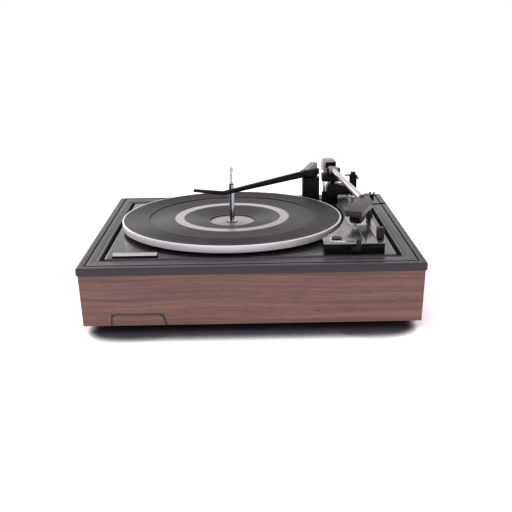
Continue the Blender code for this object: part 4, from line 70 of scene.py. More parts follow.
# Small distances and angles shared by the pieces
WELD = 0.00001
HAIR = 0.0001
FLAT_ANGLE = math.radians(0.5)
SMOOTH_ANGLE = math.radians(32)
SHARP_ANGLE = math.radians(40)
FULL_TURN = math.tau
QUARTER_TURN = math.pi / 2
EDGE_SEGMENTS = 2
ORIGIN = Vector((0.0, 0.0, 0.0))

# How much of a finish's handling shows as marks, as scratches and in its gloss
MARK_SHARE = 0.35
SCRATCH_SHARE = 0.30
UNEVEN_SHARE = 0.25
SMOOTHEST = 0.02

# Tool lines: how long they are for their pitch, how rough they are, and the lacquer over them
LINE_STRETCH = 90
LINE_ROUGHNESS = 0.08
COAT_ROUGHNESS = 0.05

# How far the walnut's figure wanders across the grain
WANDER = 0.014

# Colours that are used more than once, and the background's
WHITE: Colour = (1.0, 1.0, 1.0)
BLACK: Colour = (0.012, 0.011, 0.013)
SHEEN: Colour = (1.0, 0.92, 0.97)
WALNUT: Colour = (0.258, 0.117, 0.088)


class Grain(Enum):
    """The direction in which a finish is brushed, sawn or turned."""

    ALONG_X = "x"
    ALONG_Y = "y"
    AROUND_Z = "z"


def scaled(colour: Colour, gain: float, lift: float = 0.0) -> Colour:
    """Return a colour made darker or lighter, and never lighter than white."""
    return tuple(min(1.0, channel * gain + lift) for channel in colour)


class Wiring:
    """A short way to place and join shader nodes in one node tree."""

    def __init__(self, tree: bpy.types.NodeTree) -> None:
        """Keep the tree, a material's, a world's or a group's, that the nodes go into."""
        self.tree = tree

    def feed(self, socket: Socket, value: Value) -> None:
        """Link a socket to another, or set it to a number, a vector or a colour.

        Args:
            socket: The input.
            value: What it gets.
        """
        if isinstance(value, bpy.types.NodeSocket):
            self.tree.links.new(value, socket)
        elif socket.type == "RGBA":
            socket.default_value = (*value, 1.0)
        else:
            socket.default_value = value

    def node(self, kind: str, inputs: dict[str | int, Value], **settings: object) -> Node:
        """Add a node.

        Args:
            kind: The node's type name.
            inputs: What its inputs get, by their name or place.
            settings: Attributes to set on the node.

        Returns:
            The new node.
        """
        made = self.tree.nodes.new(kind)
        for key, value in settings.items():
            setattr(made, key, value)
        for key, value in inputs.items():
            self.feed(made.inputs[key], value)
        return made

    def math(self, operation: str, first: Value, second: Value = 0.0) -> Socket:
        """Return the result of a Math node on two sockets or numbers."""
        return self.node("ShaderNodeMath", {0: first, 1: second}, operation=operation).outputs[0]

    def mean(self, first: Socket, second: Socket) -> Socket:
        """Return the mean of two values."""
        return self.math("ADD", self.math("MULTIPLY", first, 0.5),
                         self.math("MULTIPLY", second, 0.5))

    def split(self, vector: Socket) -> list[Socket]:
        """Return the X, Y and Z of a vector."""
        return list(self.node("ShaderNodeSeparateXYZ", {0: vector}).outputs)

    def joined(self, x: Value = 0.0, y: Value = 0.0, z: Value = 0.0) -> Socket:
        """Return the vector of an X, a Y and a Z."""
        return self.node("ShaderNodeCombineXYZ", {0: x, 1: y, 2: z}).outputs[0]

    def mapped(self, vector: Socket, scale: Triple = (1, 1, 1), shift: Triple | Vector = ORIGIN,
               turn: Triple = (0, 0, 0)) -> Socket:
        """Return a coordinate that is shifted and scaled, or scaled and turned.

        Args:
            vector: The coordinate.
            scale: The scale along each axis.
            shift: The shift along each axis, before the scale.
            turn: The turn about each axis in radians, after the scale.

        Returns:
            The mapped coordinate's socket.
        """
        moved = tuple(s * k for s, k in zip(shift, scale))
        inputs = {"Vector": vector, "Location": moved, "Rotation": turn, "Scale": scale}
        return self.node("ShaderNodeMapping", inputs).outputs[0]

    def radius(self, place: Socket, centre: Vector) -> Socket:
        """Return a coordinate's distance from the upright axis through a point."""
        flat = self.mapped(place, (1, 1, 0), -centre)
        return self.node("ShaderNodeVectorMath", {0: flat}, operation="LENGTH").outputs["Value"]

    def noise(self, vector: Socket, scale: Value = 1.0, detail: float = 3.0,
              roughness: float = 0.5, distortion: float = 0.0) -> Socket:
        """Add a noise texture.

        Args:
            vector: The coordinate.
            scale: The noise's scale.
            detail: Octaves of finer noise.
            roughness: How strong the finer noise is.
            distortion: How far the noise bends itself.

        Returns:
            The noise's factor.
        """
        inputs = {"Vector": vector, "Scale": scale, "Detail": detail, "Roughness": roughness,
                  "Distortion": distortion}
        return self.node("ShaderNodeTexNoise", inputs).outputs[0]

    def span(self, value: Socket, low: float, high: float, start: float = 0.0,
             end: float = 1.0) -> Socket:
        """Return a value mapped from one range to another, and clamped."""
        return self.node("ShaderNodeMapRange", {"Value": value, "From Min": low, "From Max": high,
                                                "To Min": start, "To Max": end}).outputs[0]

    def stripes(self, value: Socket, places: tuple[Triple, ...], core: float,
                mask: Value = 0.0) -> Value:
        """Return a mask with parallel stripes laid over it.

        Args:
            value: The coordinate across the stripes.
            places: The middle, half width and strength of each.
            core: The share of a stripe's width with full strength.
            mask: The mask below them.

        Returns:
            The mask's socket.
        """
        for centre, half, strength in places:
            away = self.math("ABSOLUTE", self.math("SUBTRACT", value, centre))
            mask = self.math("MAXIMUM", mask, self.span(away, half, half * core, end=strength))
        return mask

    def mix(self, factor: Value, first: Value, second: Value) -> Socket:
        """Return the mix of two colours."""
        return self.node("ShaderNodeMix", {0: factor, 6: first, 7: second},
                         data_type="RGBA").outputs[2]

    def ramp(self, value: Socket, *colours: Colour) -> Socket:
        """Return a colour from a ramp whose colours stand evenly along it.

        Args:
            value: The place along the ramp.
            colours: The ramp's colours.

        Returns:
            The colour's socket.
        """
        made = self.node("ShaderNodeValToRGB", {0: value})
        stops = made.color_ramp.elements
        while len(stops) < len(colours):
            stops.new(0.5)
        for order, (stop, colour) in enumerate(zip(stops, colours)):
            stop.position = order / (len(colours) - 1)
            stop.color = (*colour, 1.0)
        return made.outputs[0]


class Group(Wiring):
    """The wiring of a shared node group."""

    def __init__(self, name: str, *outputs: str, **inputs: str) -> None:
        """Start the group.

        Args:
            name: The group's name.
            outputs: The names of its outputs, which are numbers.
            inputs: The socket types of its inputs by name.
        """
        super().__init__(bpy.data.node_groups.new(name, "ShaderNodeTree"))
        sockets = self.tree.interface
        for title, kind in inputs.items():
            sockets.new_socket(name=title, in_out="INPUT", socket_type=kind)
        for title in outputs:
            sockets.new_socket(name=title, in_out="OUTPUT", socket_type="NodeSocketFloat")
        self.entry = self.tree.nodes.new("NodeGroupInput").outputs
        self.leave = self.tree.nodes.new("NodeGroupOutput").inputs

    def put(self, title: str, value: Socket) -> None:
        """Send a value out of the group."""
        self.feed(self.leave[title], value)


def wear_group() -> bpy.types.NodeTree:
    """Build the group of dust, finger marks and fine scratches that every finish uses.

    Returns:
        A group from a coordinate to a mask of marks and a mask of scratches.
    """
    group = Group("handling_marks", "Marks", "Scratches", Vector="NodeSocketVector")
    place = group.entry["Vector"]
    blotches = group.noise(place, scale=24.0, detail=5.0, roughness=0.62, distortion=0.4)
    specks = group.noise(place, scale=900.0, detail=2.0, roughness=0.6)
    group.put("Marks", group.math("MULTIPLY", group.span(blotches, low=0.38, high=0.72),
                                  group.span(specks, low=0.3, high=0.75, start=0.4)))
    drawn = group.mapped(place, scale=(700.0, 28.0, 260.0), turn=(0.1, 0.2, 0.6))
    lines = group.noise(drawn, detail=2.0, roughness=0.7, distortion=0.1)
    group.put("Scratches", group.span(lines, low=0.66, high=0.75))
    return group.tree


def mould_group() -> bpy.types.NodeTree:
    """Build the group for the fine spark-eroded grain of moulded plastic.

    Returns:
        A group from a coordinate and a scale to a height and a mask.
    """
    group = Group("mould_grain", "Height", "Mask", Vector="NodeSocketVector",
                  Scale="NodeSocketFloat")
    place, scale = group.entry["Vector"], group.entry["Scale"]
    cells = group.node("ShaderNodeTexVoronoi", {"Vector": place, "Scale": scale})
    both = group.math("ADD", cells.outputs["Distance"], group.noise(place, scale, detail=2.0))
    group.put("Height", both)
    group.put("Mask", group.span(both, low=0.5, high=1.3))
    return group.tree


def line_group() -> bpy.types.NodeTree:
    """Build the group for brushed or turned lines.

    Returns:
        A group from a coordinate whose X runs across the lines to a height and a mask.
    """
    group = Group("tool_lines", "Height", "Mask", Across="NodeSocketVector")
    broad = group.noise(group.entry["Across"], scale=0.35, detail=2.0)
    fine = group.noise(group.entry["Across"], scale=2.2, detail=4.0, roughness=0.75)
    both = group.mean(broad, fine)
    group.put("Height", both)
    group.put("Mask", group.span(both, low=0.30, high=0.70))
    return group.tree


def veneer_group() -> bpy.types.NodeTree:
    """Build the group for the walnut veneer's figure, fibres and pores.

    Returns:
        A group from a coordinate whose X runs along the grain to figure, fibre and pore masks.
    """
    group = Group("walnut_figure", "Figure", "Fibres", "Pores", Vector="NodeSocketVector")
    place = group.entry["Vector"]
    wander = group.noise(group.mapped(place, scale=(5.0, 5.0, 9.0)), detail=2.0)
    lift = group.joined(z=group.math("MULTIPLY", wander, WANDER))
    bent = group.node("ShaderNodeVectorMath", {0: place, 1: lift}, operation="ADD").outputs[0]
    bands = group.noise(group.mapped(bent, scale=(3.4, 170.0, 235.0)), detail=4.0, roughness=0.6,
                        distortion=0.3)
    group.put("Figure", group.span(bands, low=0.30, high=0.72))
    fibres = group.noise(group.mapped(bent, scale=(26.0, 500.0, 620.0)), roughness=0.65)
    group.put("Fibres", group.span(fibres, low=0.30, high=0.70))
    pores = group.noise(group.mapped(bent, scale=(75.0, 1500.0, 1700.0)), detail=1.0)
    group.put("Pores", group.span(pores, low=0.60, high=0.74))
    return group.tree


GROUPS = {"wear": wear_group(), "mould": mould_group(), "lines": line_group(),
          "veneer": veneer_group()}


class Dressing(Wiring):
    """The wiring of one material, with its shader and its object coordinate."""

    def __init__(self, name: str, colour: Colour) -> None:
        """Start an empty material.

        Args:
            name: The material's name.
            colour: Its plain colour.
        """
        self.material = bpy.data.materials.new(name)
        self.material.use_nodes = True
        self.material.diffuse_color = (*colour, 1.0)
        super().__init__(self.material.node_tree)
        self.shader = self.tree.nodes["Principled BSDF"]
        self.place = self.node("ShaderNodeTexCoord", {}).outputs["Object"]

    def group(self, title: str, **inputs: Value) -> bpy.types.bpy_prop_collection:
        """Place a shared group in the material, and return its outputs."""
        return self.node("ShaderNodeGroup", inputs, node_tree=GROUPS[title]).outputs

    def shade(self, inputs: dict[str, Value]) -> None:
        """Link or set inputs of the shader."""
        for name, value in inputs.items():
            self.feed(self.shader.inputs[name], value)

    def cover(self, mask: Socket, colour: Colour) -> None:
        """Lay a colour over the base colour where a mask is."""
        bare = self.shader.inputs["Base Color"].links[0].from_socket
        self.shade({"Base Color": self.mix(mask, bare, colour)})

    def bump(self, height: Socket, depth: float) -> None:
        """Give the shader a bump of this depth in metres."""
        made = self.node("ShaderNodeBump", {"Strength": 1.0, "Distance": depth, "Height": height})
        self.shade({"Normal": made.outputs[0]})


@dataclass(frozen=True)
class Finish:
    """What every finish has: a name, a colour, a roughness and how much it has been handled."""

    name: str
    colour: Colour
    roughness: float
    handled: float

    def material(self) -> bpy.types.Material:
        """Make the finished material.

        Returns:
            The new material.
        """
        paint = Dressing(self.name, self.colour)
        self.dress(paint)
        return paint.material

    def dress(self, paint: Dressing) -> None:
        """Wire the material; each kind of finish has its own way."""
        raise NotImplementedError(self.name)

    def worn(self, paint: Dressing, colour: Value, lighter: Colour, rough: Value = 0.0) -> None:
        """Vary colour and roughness by the handling marks.

        Args:
            paint: The material's wiring.
            colour: The clean colour.
            lighter: The colour of dust and rubbed places.
            rough: What adds to the roughness.
        """
        marks = paint.group("wear", Vector=paint.place)
        amount = paint.math("MULTIPLY", marks["Marks"], self.handled * MARK_SHARE)
        scratched = paint.math("MULTIPLY", marks["Scratches"], self.handled * SCRATCH_SHARE)
        mask = paint.math("MAXIMUM", amount, scratched)
        uneven = paint.math("MULTIPLY", marks["Marks"], self.handled * UNEVEN_SHARE)
        total = paint.math("ADD", paint.math("ADD", uneven, self.roughness), rough)
        paint.shade({"Base Color": paint.mix(mask, colour, lighter),
                     "Roughness": paint.span(total, SMOOTHEST, 1.0, SMOOTHEST)})


@dataclass(frozen=True)
class Moulded(Finish):
    """Moulded plastic, paint or rubber with a fine grain."""

    grain: float = 1800.0
    depth: float = 0.00004
    specular: float = 0.5
    tint: Colour = SHEEN
    mottle_gain: float = 0.80
    dusty_gain: float = 1.6
    dusty_lift: float = 0.02

    def dress(self, paint: Dressing) -> None:
        """Wire the mottled colour, the gloss and the grain.

        Args:
            paint: The material's wiring.
        """
        grain = paint.group("mould", Vector=paint.place, Scale=self.grain)
        mottled = paint.mix(grain["Mask"], scaled(self.colour, self.mottle_gain), self.colour)
        self.worn(paint, mottled, scaled(self.colour, self.dusty_gain, self.dusty_lift))
        paint.shade({"Specular IOR Level": self.specular, "Specular Tint": self.tint})
        paint.bump(grain["Height"], self.depth)


@dataclass(frozen=True)
class Tooled(Finish):
    """Metal with brushed or turned lines."""

    grain: Grain = Grain.ALONG_X
    centre: Vector = ORIGIN
    pitch: float = 0.0004
    depth: float = 0.00001
    contrast: float = 0.12
    metal: float = 1.0
    coat: float = 0.0
    dull_gain: float = 0.75

    def across(self, paint: Dressing) -> Socket:
        """Return a coordinate whose X runs across the tool lines.

        Args:
            paint: The material's wiring.

        Returns:
            The coordinate's socket.
        """
        if self.grain is Grain.AROUND_Z:
            height = paint.split(paint.mapped(paint.place, shift=-self.centre))[2]
            total = paint.math("ADD", paint.radius(paint.place, self.centre), height)
            return paint.joined(paint.math("DIVIDE", total, self.pitch))
        across, along = 1 / self.pitch, 1 / (self.pitch * LINE_STRETCH)
        if self.grain is Grain.ALONG_X:
            return paint.mapped(paint.place, (along, across, across))
        return paint.mapped(paint.place, (across, along, across))

    def dress(self, paint: Dressing) -> None:
        """Wire the lines, the metal and its lacquer.

        Args:
            paint: The material's wiring.
        """
        lines = paint.group("lines", Across=self.across(paint))
        drawn = paint.mix(lines["Mask"], scaled(self.colour, 1 - self.contrast),
                          scaled(self.colour, 1 + self.contrast))
        self.worn(paint, drawn, scaled(self.colour, self.dull_gain),
                  paint.math("MULTIPLY", lines["Mask"], LINE_ROUGHNESS))
        paint.shade({"Metallic": self.metal, "Coat Weight": self.coat,
                     "Coat Roughness": COAT_ROUGHNESS})
        paint.bump(lines["Height"], self.depth)


@dataclass(frozen=True)
class ControlMetal(Tooled):
    """The control plate's lacquered aluminium, with engraved lines and a painted dark reflection by
    a rib.
    """

    # The place, half width and strength of each line
    lines: tuple[Triple, ...] = ((-0.1217, 0.0009, 0.75), (-0.1091, 0.0005, 0.25))
    line_core_share: float = 0.5
    lines_end: float = 0.1262
    wedge_left: float = 0.1298
    wedge_tip: float = -0.1254
    wedge_tip_right: float = 0.1311
    wedge_back: float = -0.0530
    wedge_spread: float = 0.1936
    wedge_fade: float = 0.0006
    specular: float = 0.10

    def engraved(self, paint: Dressing, across: Socket, along: Socket) -> Socket:
        """Return the mask of the engraved lines, which stop beside the rib."""
        left = paint.span(across, self.lines_end, self.lines_end - HAIR)
        return paint.math("MULTIPLY", paint.stripes(along, self.lines, self.line_core_share), left)

    def wedge(self, paint: Dressing, across: Socket, along: Socket) -> Socket:
        """Return the mask of the painted dark reflection, a wedge which narrows to the front.

        Args:
            paint: The material's wiring.
            across: The X coordinate.
            along: The Y coordinate.

        Returns:
            The mask's socket.
        """
        grown = paint.math("MULTIPLY", paint.math("SUBTRACT", along, self.wedge_tip),
                           self.wedge_spread)
        right = paint.math("ADD", grown, self.wedge_tip_right)
        inside = paint.span(paint.math("SUBTRACT", right, across), 0.0, self.wedge_fade)
        beside = paint.span(across, self.wedge_left, self.wedge_left + HAIR)
        ahead = paint.span(along, self.wedge_back, self.wedge_back - HAIR)
        return paint.math("MULTIPLY", paint.math("MULTIPLY", inside, beside), ahead)

    def dress(self, paint: Dressing) -> None:
        """Wire the metal, then the lines and the painted dark reflection over it.

        Args:
            paint: The material's wiring.
        """
        super().dress(paint)
        across, along = paint.split(paint.place)[:2]
        # The wedge is a painted dark reflection: black, with no metal and no lacquer
        wedge = self.wedge(paint, across, along)
        paint.cover(paint.math("MAXIMUM", wedge, self.engraved(paint, across, along)), BLACK)
        bright = paint.math("SUBTRACT", 1.0, wedge)
        paint.shade({"Specular IOR Level": self.specular,
                     "Metallic": paint.math("MULTIPLY", bright, self.metal),
                     "Coat Weight": paint.math("MULTIPLY", bright, self.coat)})


@dataclass(frozen=True)
class StripedPlastic(Moulded):
    """The surround's plastic, with painted highlights in faint stripes along its four sides."""

    middle: Vector = ORIGIN
    half: Vector = ORIGIN
    pale: Colour = (0.086, 0.077, 0.083)
    # The place inward, half width and strength of each painted highlight stripe
    stripes: tuple[Triple, ...] = ((0.0118, 0.0011, 0.85), (0.0165, 0.0008, 0.35),
                                   (0.0255, 0.0012, 0.55))
    stripe_core_share: float = 0.4
    streak_scale: float = 620.0
    streak_low: float = 0.42
    streak_high: float = 0.70
    streak_share: float = 0.65

    def dress(self, paint: Dressing) -> None:
        """Wire the plastic, then its painted highlights in stripes and finer streaks.

        Args:
            paint: The material's wiring.
        """
        super().dress(paint)
        places = paint.split(paint.mapped(paint.place, shift=-self.middle))
        sides = [paint.math("SUBTRACT", half, paint.math("ABSOLUTE", place))
                 for place, half in zip(places, self.half.xy)]
        inward = paint.math("MINIMUM", *sides)
        streaks = paint.noise(paint.joined(inward), self.streak_scale, detail=2.0, roughness=0.6)
        mask = paint.span(streaks, self.streak_low, self.streak_high, end=self.streak_share)
        # Pale stripes and streaks laid over the plastic: painted highlights along the ridges and
        # the lip
        paint.cover(paint.stripes(inward, self.stripes, self.stripe_core_share, mask), self.pale)


@dataclass(frozen=True)
class Veneer(Finish):
    """Walnut veneer with an open grain."""

    grain: Grain = Grain.ALONG_X
    dark: Colour = (0.122, 0.062, 0.054)
    light: Colour = (0.372, 0.177, 0.134)
    fibre_share: float = 0.52
    pore_share: float = 0.6
    pore_gain: float = 0.5
    dusty_gain: float = 1.25
    pore_roughness: float = 0.2
    fibre_height: float = 0.3
    depth: float = 0.00005

    def dress(self, paint: Dressing) -> None:
        """Wire the figure, the fibres and the pores.

        Args:
            paint: The material's wiring.
        """
        turn = (0, 0, 0) if self.grain is Grain.ALONG_X else (0, 0, QUARTER_TURN)
        figure = paint.group("veneer", Vector=paint.mapped(paint.place, turn=turn))
        fibres, pores = figure["Fibres"], figure["Pores"]
        broad = paint.ramp(figure["Figure"], self.dark, self.colour, self.light)
        fibred = paint.mix(paint.math("MULTIPLY", fibres, self.fibre_share), broad, self.dark)
        pored = paint.mix(paint.math("MULTIPLY", pores, self.pore_share), fibred,
                          scaled(self.dark, self.pore_gain))
        self.worn(paint, pored, scaled(self.light, self.dusty_gain),
                  paint.math("MULTIPLY", pores, self.pore_roughness))
        raised = paint.math("MULTIPLY", fibres, self.fibre_height)
        paint.bump(paint.math("SUBTRACT", raised, pores), self.depth)


@dataclass(frozen=True)
class RibbedRubber(Finish):
    """The mat's rubber, whose tone changes in rings around the spindle."""

    centre: Vector = ORIGIN
    depth: float = 0.00003
    specular: float = 0.15
    grain: float = 2600.0
    band_scale: float = 14.0
    ring_scale: float = 160.0
    dark_gain: float = 0.7
    light_gain: float = 1.35
    tone_low: float = 0.35
    tone_high: float = 0.65
    inner_radius: float = 0.1052
    inner_gain: float = 1.9
    inner_share: float = 0.7
    dust: Colour = (0.20, 0.19, 0.19)

    def dress(self, paint: Dressing) -> None:
        """Wire the rings, the lighter inner part, the gloss and the grain.

        Args:
            paint: The material's wiring.
        """
        radius = paint.radius(paint.place, self.centre)
        bands = paint.noise(paint.place, self.band_scale, detail=4.0, roughness=0.6)
        rings = paint.noise(paint.joined(radius), self.ring_scale, roughness=0.7)
        tone = paint.span(paint.mean(bands, rings), self.tone_low, self.tone_high)
        lighter = scaled(self.colour, self.light_gain)
        outer = paint.mix(tone, scaled(self.colour, self.dark_gain), lighter)
        inside = paint.span(radius, self.inner_radius, self.inner_radius - HAIR)
        ringed = paint.mix(paint.math("MULTIPLY", inside, self.inner_share), outer,
                           scaled(lighter, self.inner_gain))
        self.worn(paint, ringed, self.dust)
        grain = paint.group("mould", Vector=paint.place, Scale=self.grain)
        paint.shade({"Specular IOR Level": self.specular, "Specular Tint": SHEEN})
        paint.bump(grain["Height"], self.depth)


@dataclass(frozen=True)
class Pressed(Finish):
    """Chipboard or hardboard, with flakes or fibres pressed together."""

    flake: float = 260.0
    depth: float = 0.0002
    dark_gain: float = 0.55
    dusty_gain: float = 1.4

    def dress(self, paint: Dressing) -> None:
        """Wire the flakes and the fibres between them.

        Args:
            paint: The material's wiring.
        """
        cells = paint.node("ShaderNodeTexVoronoi", {"Scale": self.flake, "Vector": paint.place})
        darker = scaled(self.colour, self.dark_gain)
        flakes = paint.mix(cells.outputs["Color"], self.colour, darker)
        fibres = paint.noise(paint.place, self.flake * 2, detail=4.0, roughness=0.7)
        mottled = paint.mix(fibres, flakes, self.colour)
        self.worn(paint, mottled, scaled(self.colour, self.dusty_gain))
        paint.bump(fibres, self.depth)


@dataclass(frozen=True)
class Winding(Finish):
    """Varnished copper wire, layer beside layer."""

    wire: float = 0.0005
    depth: float = 0.0002
    metal: float = 0.6
    dark_gain: float = 0.35

    def dress(self, paint: Dressing) -> None:
        """Wire the turns.

        Args:
            paint: The material's wiring.
        """
        across = paint.split(paint.place)[0]
        turns = paint.math("SINE", paint.math("MULTIPLY", across, FULL_TURN / self.wire))
        shade = paint.span(turns, -1.0, 1.0)
        drawn = paint.mix(shade, scaled(self.colour, self.dark_gain), self.colour)
        self.worn(paint, drawn, self.colour)
        paint.shade({"Metallic": self.metal})
        paint.bump(shade, self.depth)


def node_centre(node: str) -> Vector:
    """Return the middle of a CAD node's box."""
    low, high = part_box(node)
    return (low + high) / 2


PLATTER_CENTRE = node_centre("platter")
FRAME_LOW, FRAME_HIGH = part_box("top_frame")
FRAME_MIDDLE = (FRAME_LOW + FRAME_HIGH) / 2
FRAME_HALF = FRAME_HIGH - FRAME_MIDDLE
DECK_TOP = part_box("deck_plate")[1].z

FINISHES: dict[str, Finish] = {
    "veneer_x": Veneer("walnut_along_x", WALNUT, 0.42, 0.2, Grain.ALONG_X),
    "veneer_y": Veneer("walnut_along_y", WALNUT, 0.42, 0.2, Grain.ALONG_Y),
    "chipboard": Pressed("chipboard", (0.45, 0.33, 0.20), 0.85, 0.2, flake=320.0),
    "hardboard": Pressed("hardboard", (0.16, 0.09, 0.05), 0.75, 0.3, flake=700.0),
    "surround": StripedPlastic("surround_plastic", (0.048, 0.043, 0.050), 0.34, 0.4, grain=1500.0,
                               depth=0.00003, specular=0.24, tint=(1.0, 0.90, 0.96),
                               middle=FRAME_MIDDLE, half=FRAME_HALF),
    "deck": Moulded("deck_enamel", (0.020, 0.018, 0.019), 0.19, 0.4, grain=1100.0, depth=0.00002,
                    specular=0.50),
    "black": Moulded("black_plastic", (0.006, 0.006, 0.007), 0.30, 0.35, grain=2400.0,
                     depth=0.00001, specular=0.10),
    "soft_black": Moulded("soft_black_plastic", BLACK, 0.45, 0.35, grain=2000.0, depth=0.00003,
                          specular=0.25),
    "foot": Moulded("foot_rubber", (0.015, 0.015, 0.015), 0.8, 0.5, grain=900.0, depth=0.0001),
    "grey": Moulded("grey_plastic", (0.36, 0.335, 0.34), 0.42, 0.5, depth=0.00003),
    "shell": Moulded("shell_plastic", (0.062, 0.057, 0.058), 0.42, 0.5, grain=620.0,
                     depth=0.00022),
    "shell_front": Moulded("shell_front_plastic", (0.030, 0.028, 0.036), 0.40, 0.5, grain=620.0,
                           depth=0.00010),
    "mat": RibbedRubber("mat_rubber", (0.038, 0.035, 0.037), 0.38, 0.5, PLATTER_CENTRE),
    "turned": Tooled("turned_aluminium", (0.90, 0.86, 0.91), 0.30, 0.25, Grain.AROUND_Z,
                     PLATTER_CENTRE, pitch=0.0005, contrast=0.05, metal=0.35),
    "ring": Tooled("silver_ring", (0.53, 0.50, 0.53), 0.30, 0.3, Grain.AROUND_Z, PLATTER_CENTRE,
                   pitch=0.0005, contrast=0.06),
    "disc": Tooled("silver_disc", (0.42, 0.40, 0.40), 0.30, 0.3, Grain.AROUND_Z, PLATTER_CENTRE,
                   pitch=0.0005, contrast=0.06),
    "panel": ControlMetal("control_aluminium", (0.205, 0.184, 0.184), 0.22, 0.5, Grain.ALONG_Y,
                          pitch=0.0005, depth=0.000005, contrast=0.08, metal=0.9, coat=0.5),
    "badge": Tooled("badge_metal", (0.48, 0.46, 0.47), 0.30, 0.4, contrast=0.10),
    "steel": Tooled("bright_steel", (0.74, 0.74, 0.75), 0.20, 0.3, Grain.ALONG_Y, pitch=0.0005,
                    contrast=0.06),
    "chrome": Tooled("polished_chrome", (0.46, 0.44, 0.52), 0.09, 0.2, Grain.AROUND_Z,
                     PLATTER_CENTRE, pitch=0.0006, depth=0.000001, contrast=0.03),
    "dark_chrome": Tooled("shaded_chrome", (0.045, 0.042, 0.052), 0.15, 0.2, Grain.AROUND_Z,
                          PLATTER_CENTRE, pitch=0.0006, depth=0.000001, contrast=0.03),
    "arm_metal": Tooled("arm_aluminium", (0.60, 0.565, 0.58), 0.22, 0.3, Grain.ALONG_Y,
                        pitch=0.0005, contrast=0.06),
    "zinc": Tooled("dull_zinc", (0.50, 0.50, 0.48), 0.45, 0.5, pitch=0.0006, depth=0.00002,
                   contrast=0.10),
    "copper": Winding("copper_winding", (0.45, 0.20, 0.10), 0.35, 0.2),
    "gold": Tooled("gold_pins", (0.80, 0.58, 0.22), 0.25, 0.2, Grain.ALONG_Y),
}


@cache
def material(title: str) -> bpy.types.Material:
    """Return a finish's material, made when it is first asked for."""
    return FINISHES[title].material()


RECORD = frame["record"]
NODE_BODIES = {node: body for body, nodes in RECORD["behaviour"]["bodies"].items()
               for node in nodes}


def arc(centre: Point, radius: float, start: float, end: float, steps: int) -> list[Point]:
    """Return points along an arc, for a profile.

    Args:
        centre: The arc's centre, as (radius, height).
        radius: The arc's own radius.
        start: The first angle, in degrees from the outward direction.
        end: The last angle, in degrees.
        steps: The number of steps between them.

    Returns:
        The points, both ends included.
    """
    angles = [math.radians(start + (end - start) * step / steps) for step in range(steps + 1)]
    return [(centre[0] + radius * math.cos(angle), centre[1] + radius * math.sin(angle))
            for angle in angles]


class Assembly:
    """A sub-assembly that can add pieces in the place of CAD nodes."""

    def piece(self, name: str, shape: bmesh.types.BMesh, finish: str, node: str,
              replace: bool = True) -> bpy.types.Object:
        """Make a piece from a shape that is already in the frame's place.

        Args:
            name: The piece's name.
            shape: Its mesh, which is freed.
            finish: The short name of its finish.
            node: The CAD node that it belongs to.
            replace: Whether it stands for that node.

        Returns:
            The new object.
        """
        mesh = bpy.data.meshes.new(name)
        shape.to_mesh(mesh)
        shape.free()
        mesh.shade_smooth()
        mesh.set_sharp_from_angle(angle=SMOOTH_ANGLE)
        made = bpy.data.objects.new(name, mesh)
        bpy.context.scene.collection.objects.link(made)
        mesh.materials.append(material(finish))
        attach(made, NODE_BODIES[node])
        if replace:
            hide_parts(node)
        LOG.info("%s: %d faces", name, len(mesh.polygons))
        return made

    def accent(self, made: bpy.types.Object, finish: str,
               chosen: Callable[[Vector, Vector], bool]) -> None:
        """Give some of a piece's faces another finish.

        Args:
            made: The piece.
            finish: The short name of the finish.
            chosen: Tells from a face's middle and normal whether it is one of them.
        """
        made.data.materials.append(material(finish))
        for face in made.data.polygons:
            if chosen(face.center, face.normal):
                face.material_index = len(made.data.materials) - 1

    def merged(self, node: str) -> bmesh.types.BMesh:
        """Merge a CAD node's mesh, with its flat faces made whole.

        Args:
            node: The CAD node.

        Returns:
            The merged copy.
        """
        shape = bmesh.new()
        shape.from_mesh(frame["nodes"][node].data)
        bmesh.ops.remove_doubles(shape, verts=shape.verts, dist=WELD)
        bmesh.ops.dissolve_limit(shape, angle_limit=FLAT_ANGLE, verts=shape.verts,
                                 edges=shape.edges)
        return shape

    def refined(self, node: str, finish: str, edge: float = 0.0) -> bpy.types.Object:
        """Take a CAD node's shape, soften its sharp edges and give it a finish.

        Args:
            node: The CAD node.
            finish: The short name of the finish.
            edge: How far its edges are rounded, in metres.

        Returns:
            The new object.
        """
        shape = self.merged(node)
        if edge:
            edges = [line for line in shape.edges
                     if len(line.link_faces) == 2 and line.calc_face_angle(0) > SHARP_ANGLE]
            bmesh.ops.bevel(shape, geom=edges, offset=edge, segments=EDGE_SEGMENTS,
                            affect="EDGES", profile=0.5, material=-1, clamp_overlap=True)
        return self.piece("finished_" + node, shape, finish, node)

    def turned(self, profile: list[Point], centre: Vector, steps: int) -> bmesh.types.BMesh:
        """Spin a closed profile about an upright axis.

        Args:
            profile: The outline as (radius, height), with heights in the frame.
            centre: A point on the axis.
            steps: The number of steps for a full turn.

        Returns:
            The turned shape.
        """
        shape = bmesh.new()
        points = [shape.verts.new((centre.x + radius, centre.y, height))
                  for radius, height in profile]
        edges = [shape.edges.new(pair) for pair in zip(points, points[1:] + points[:1])]
        bmesh.ops.spin(shape, geom=points + edges, cent=centre, axis=(0, 0, 1), angle=FULL_TURN,
                       steps=steps, use_merge=True)
        bmesh.ops.remove_doubles(shape, verts=shape.verts, dist=WELD)
        bmesh.ops.recalc_face_normals(shape, faces=shape.faces)
        return shape


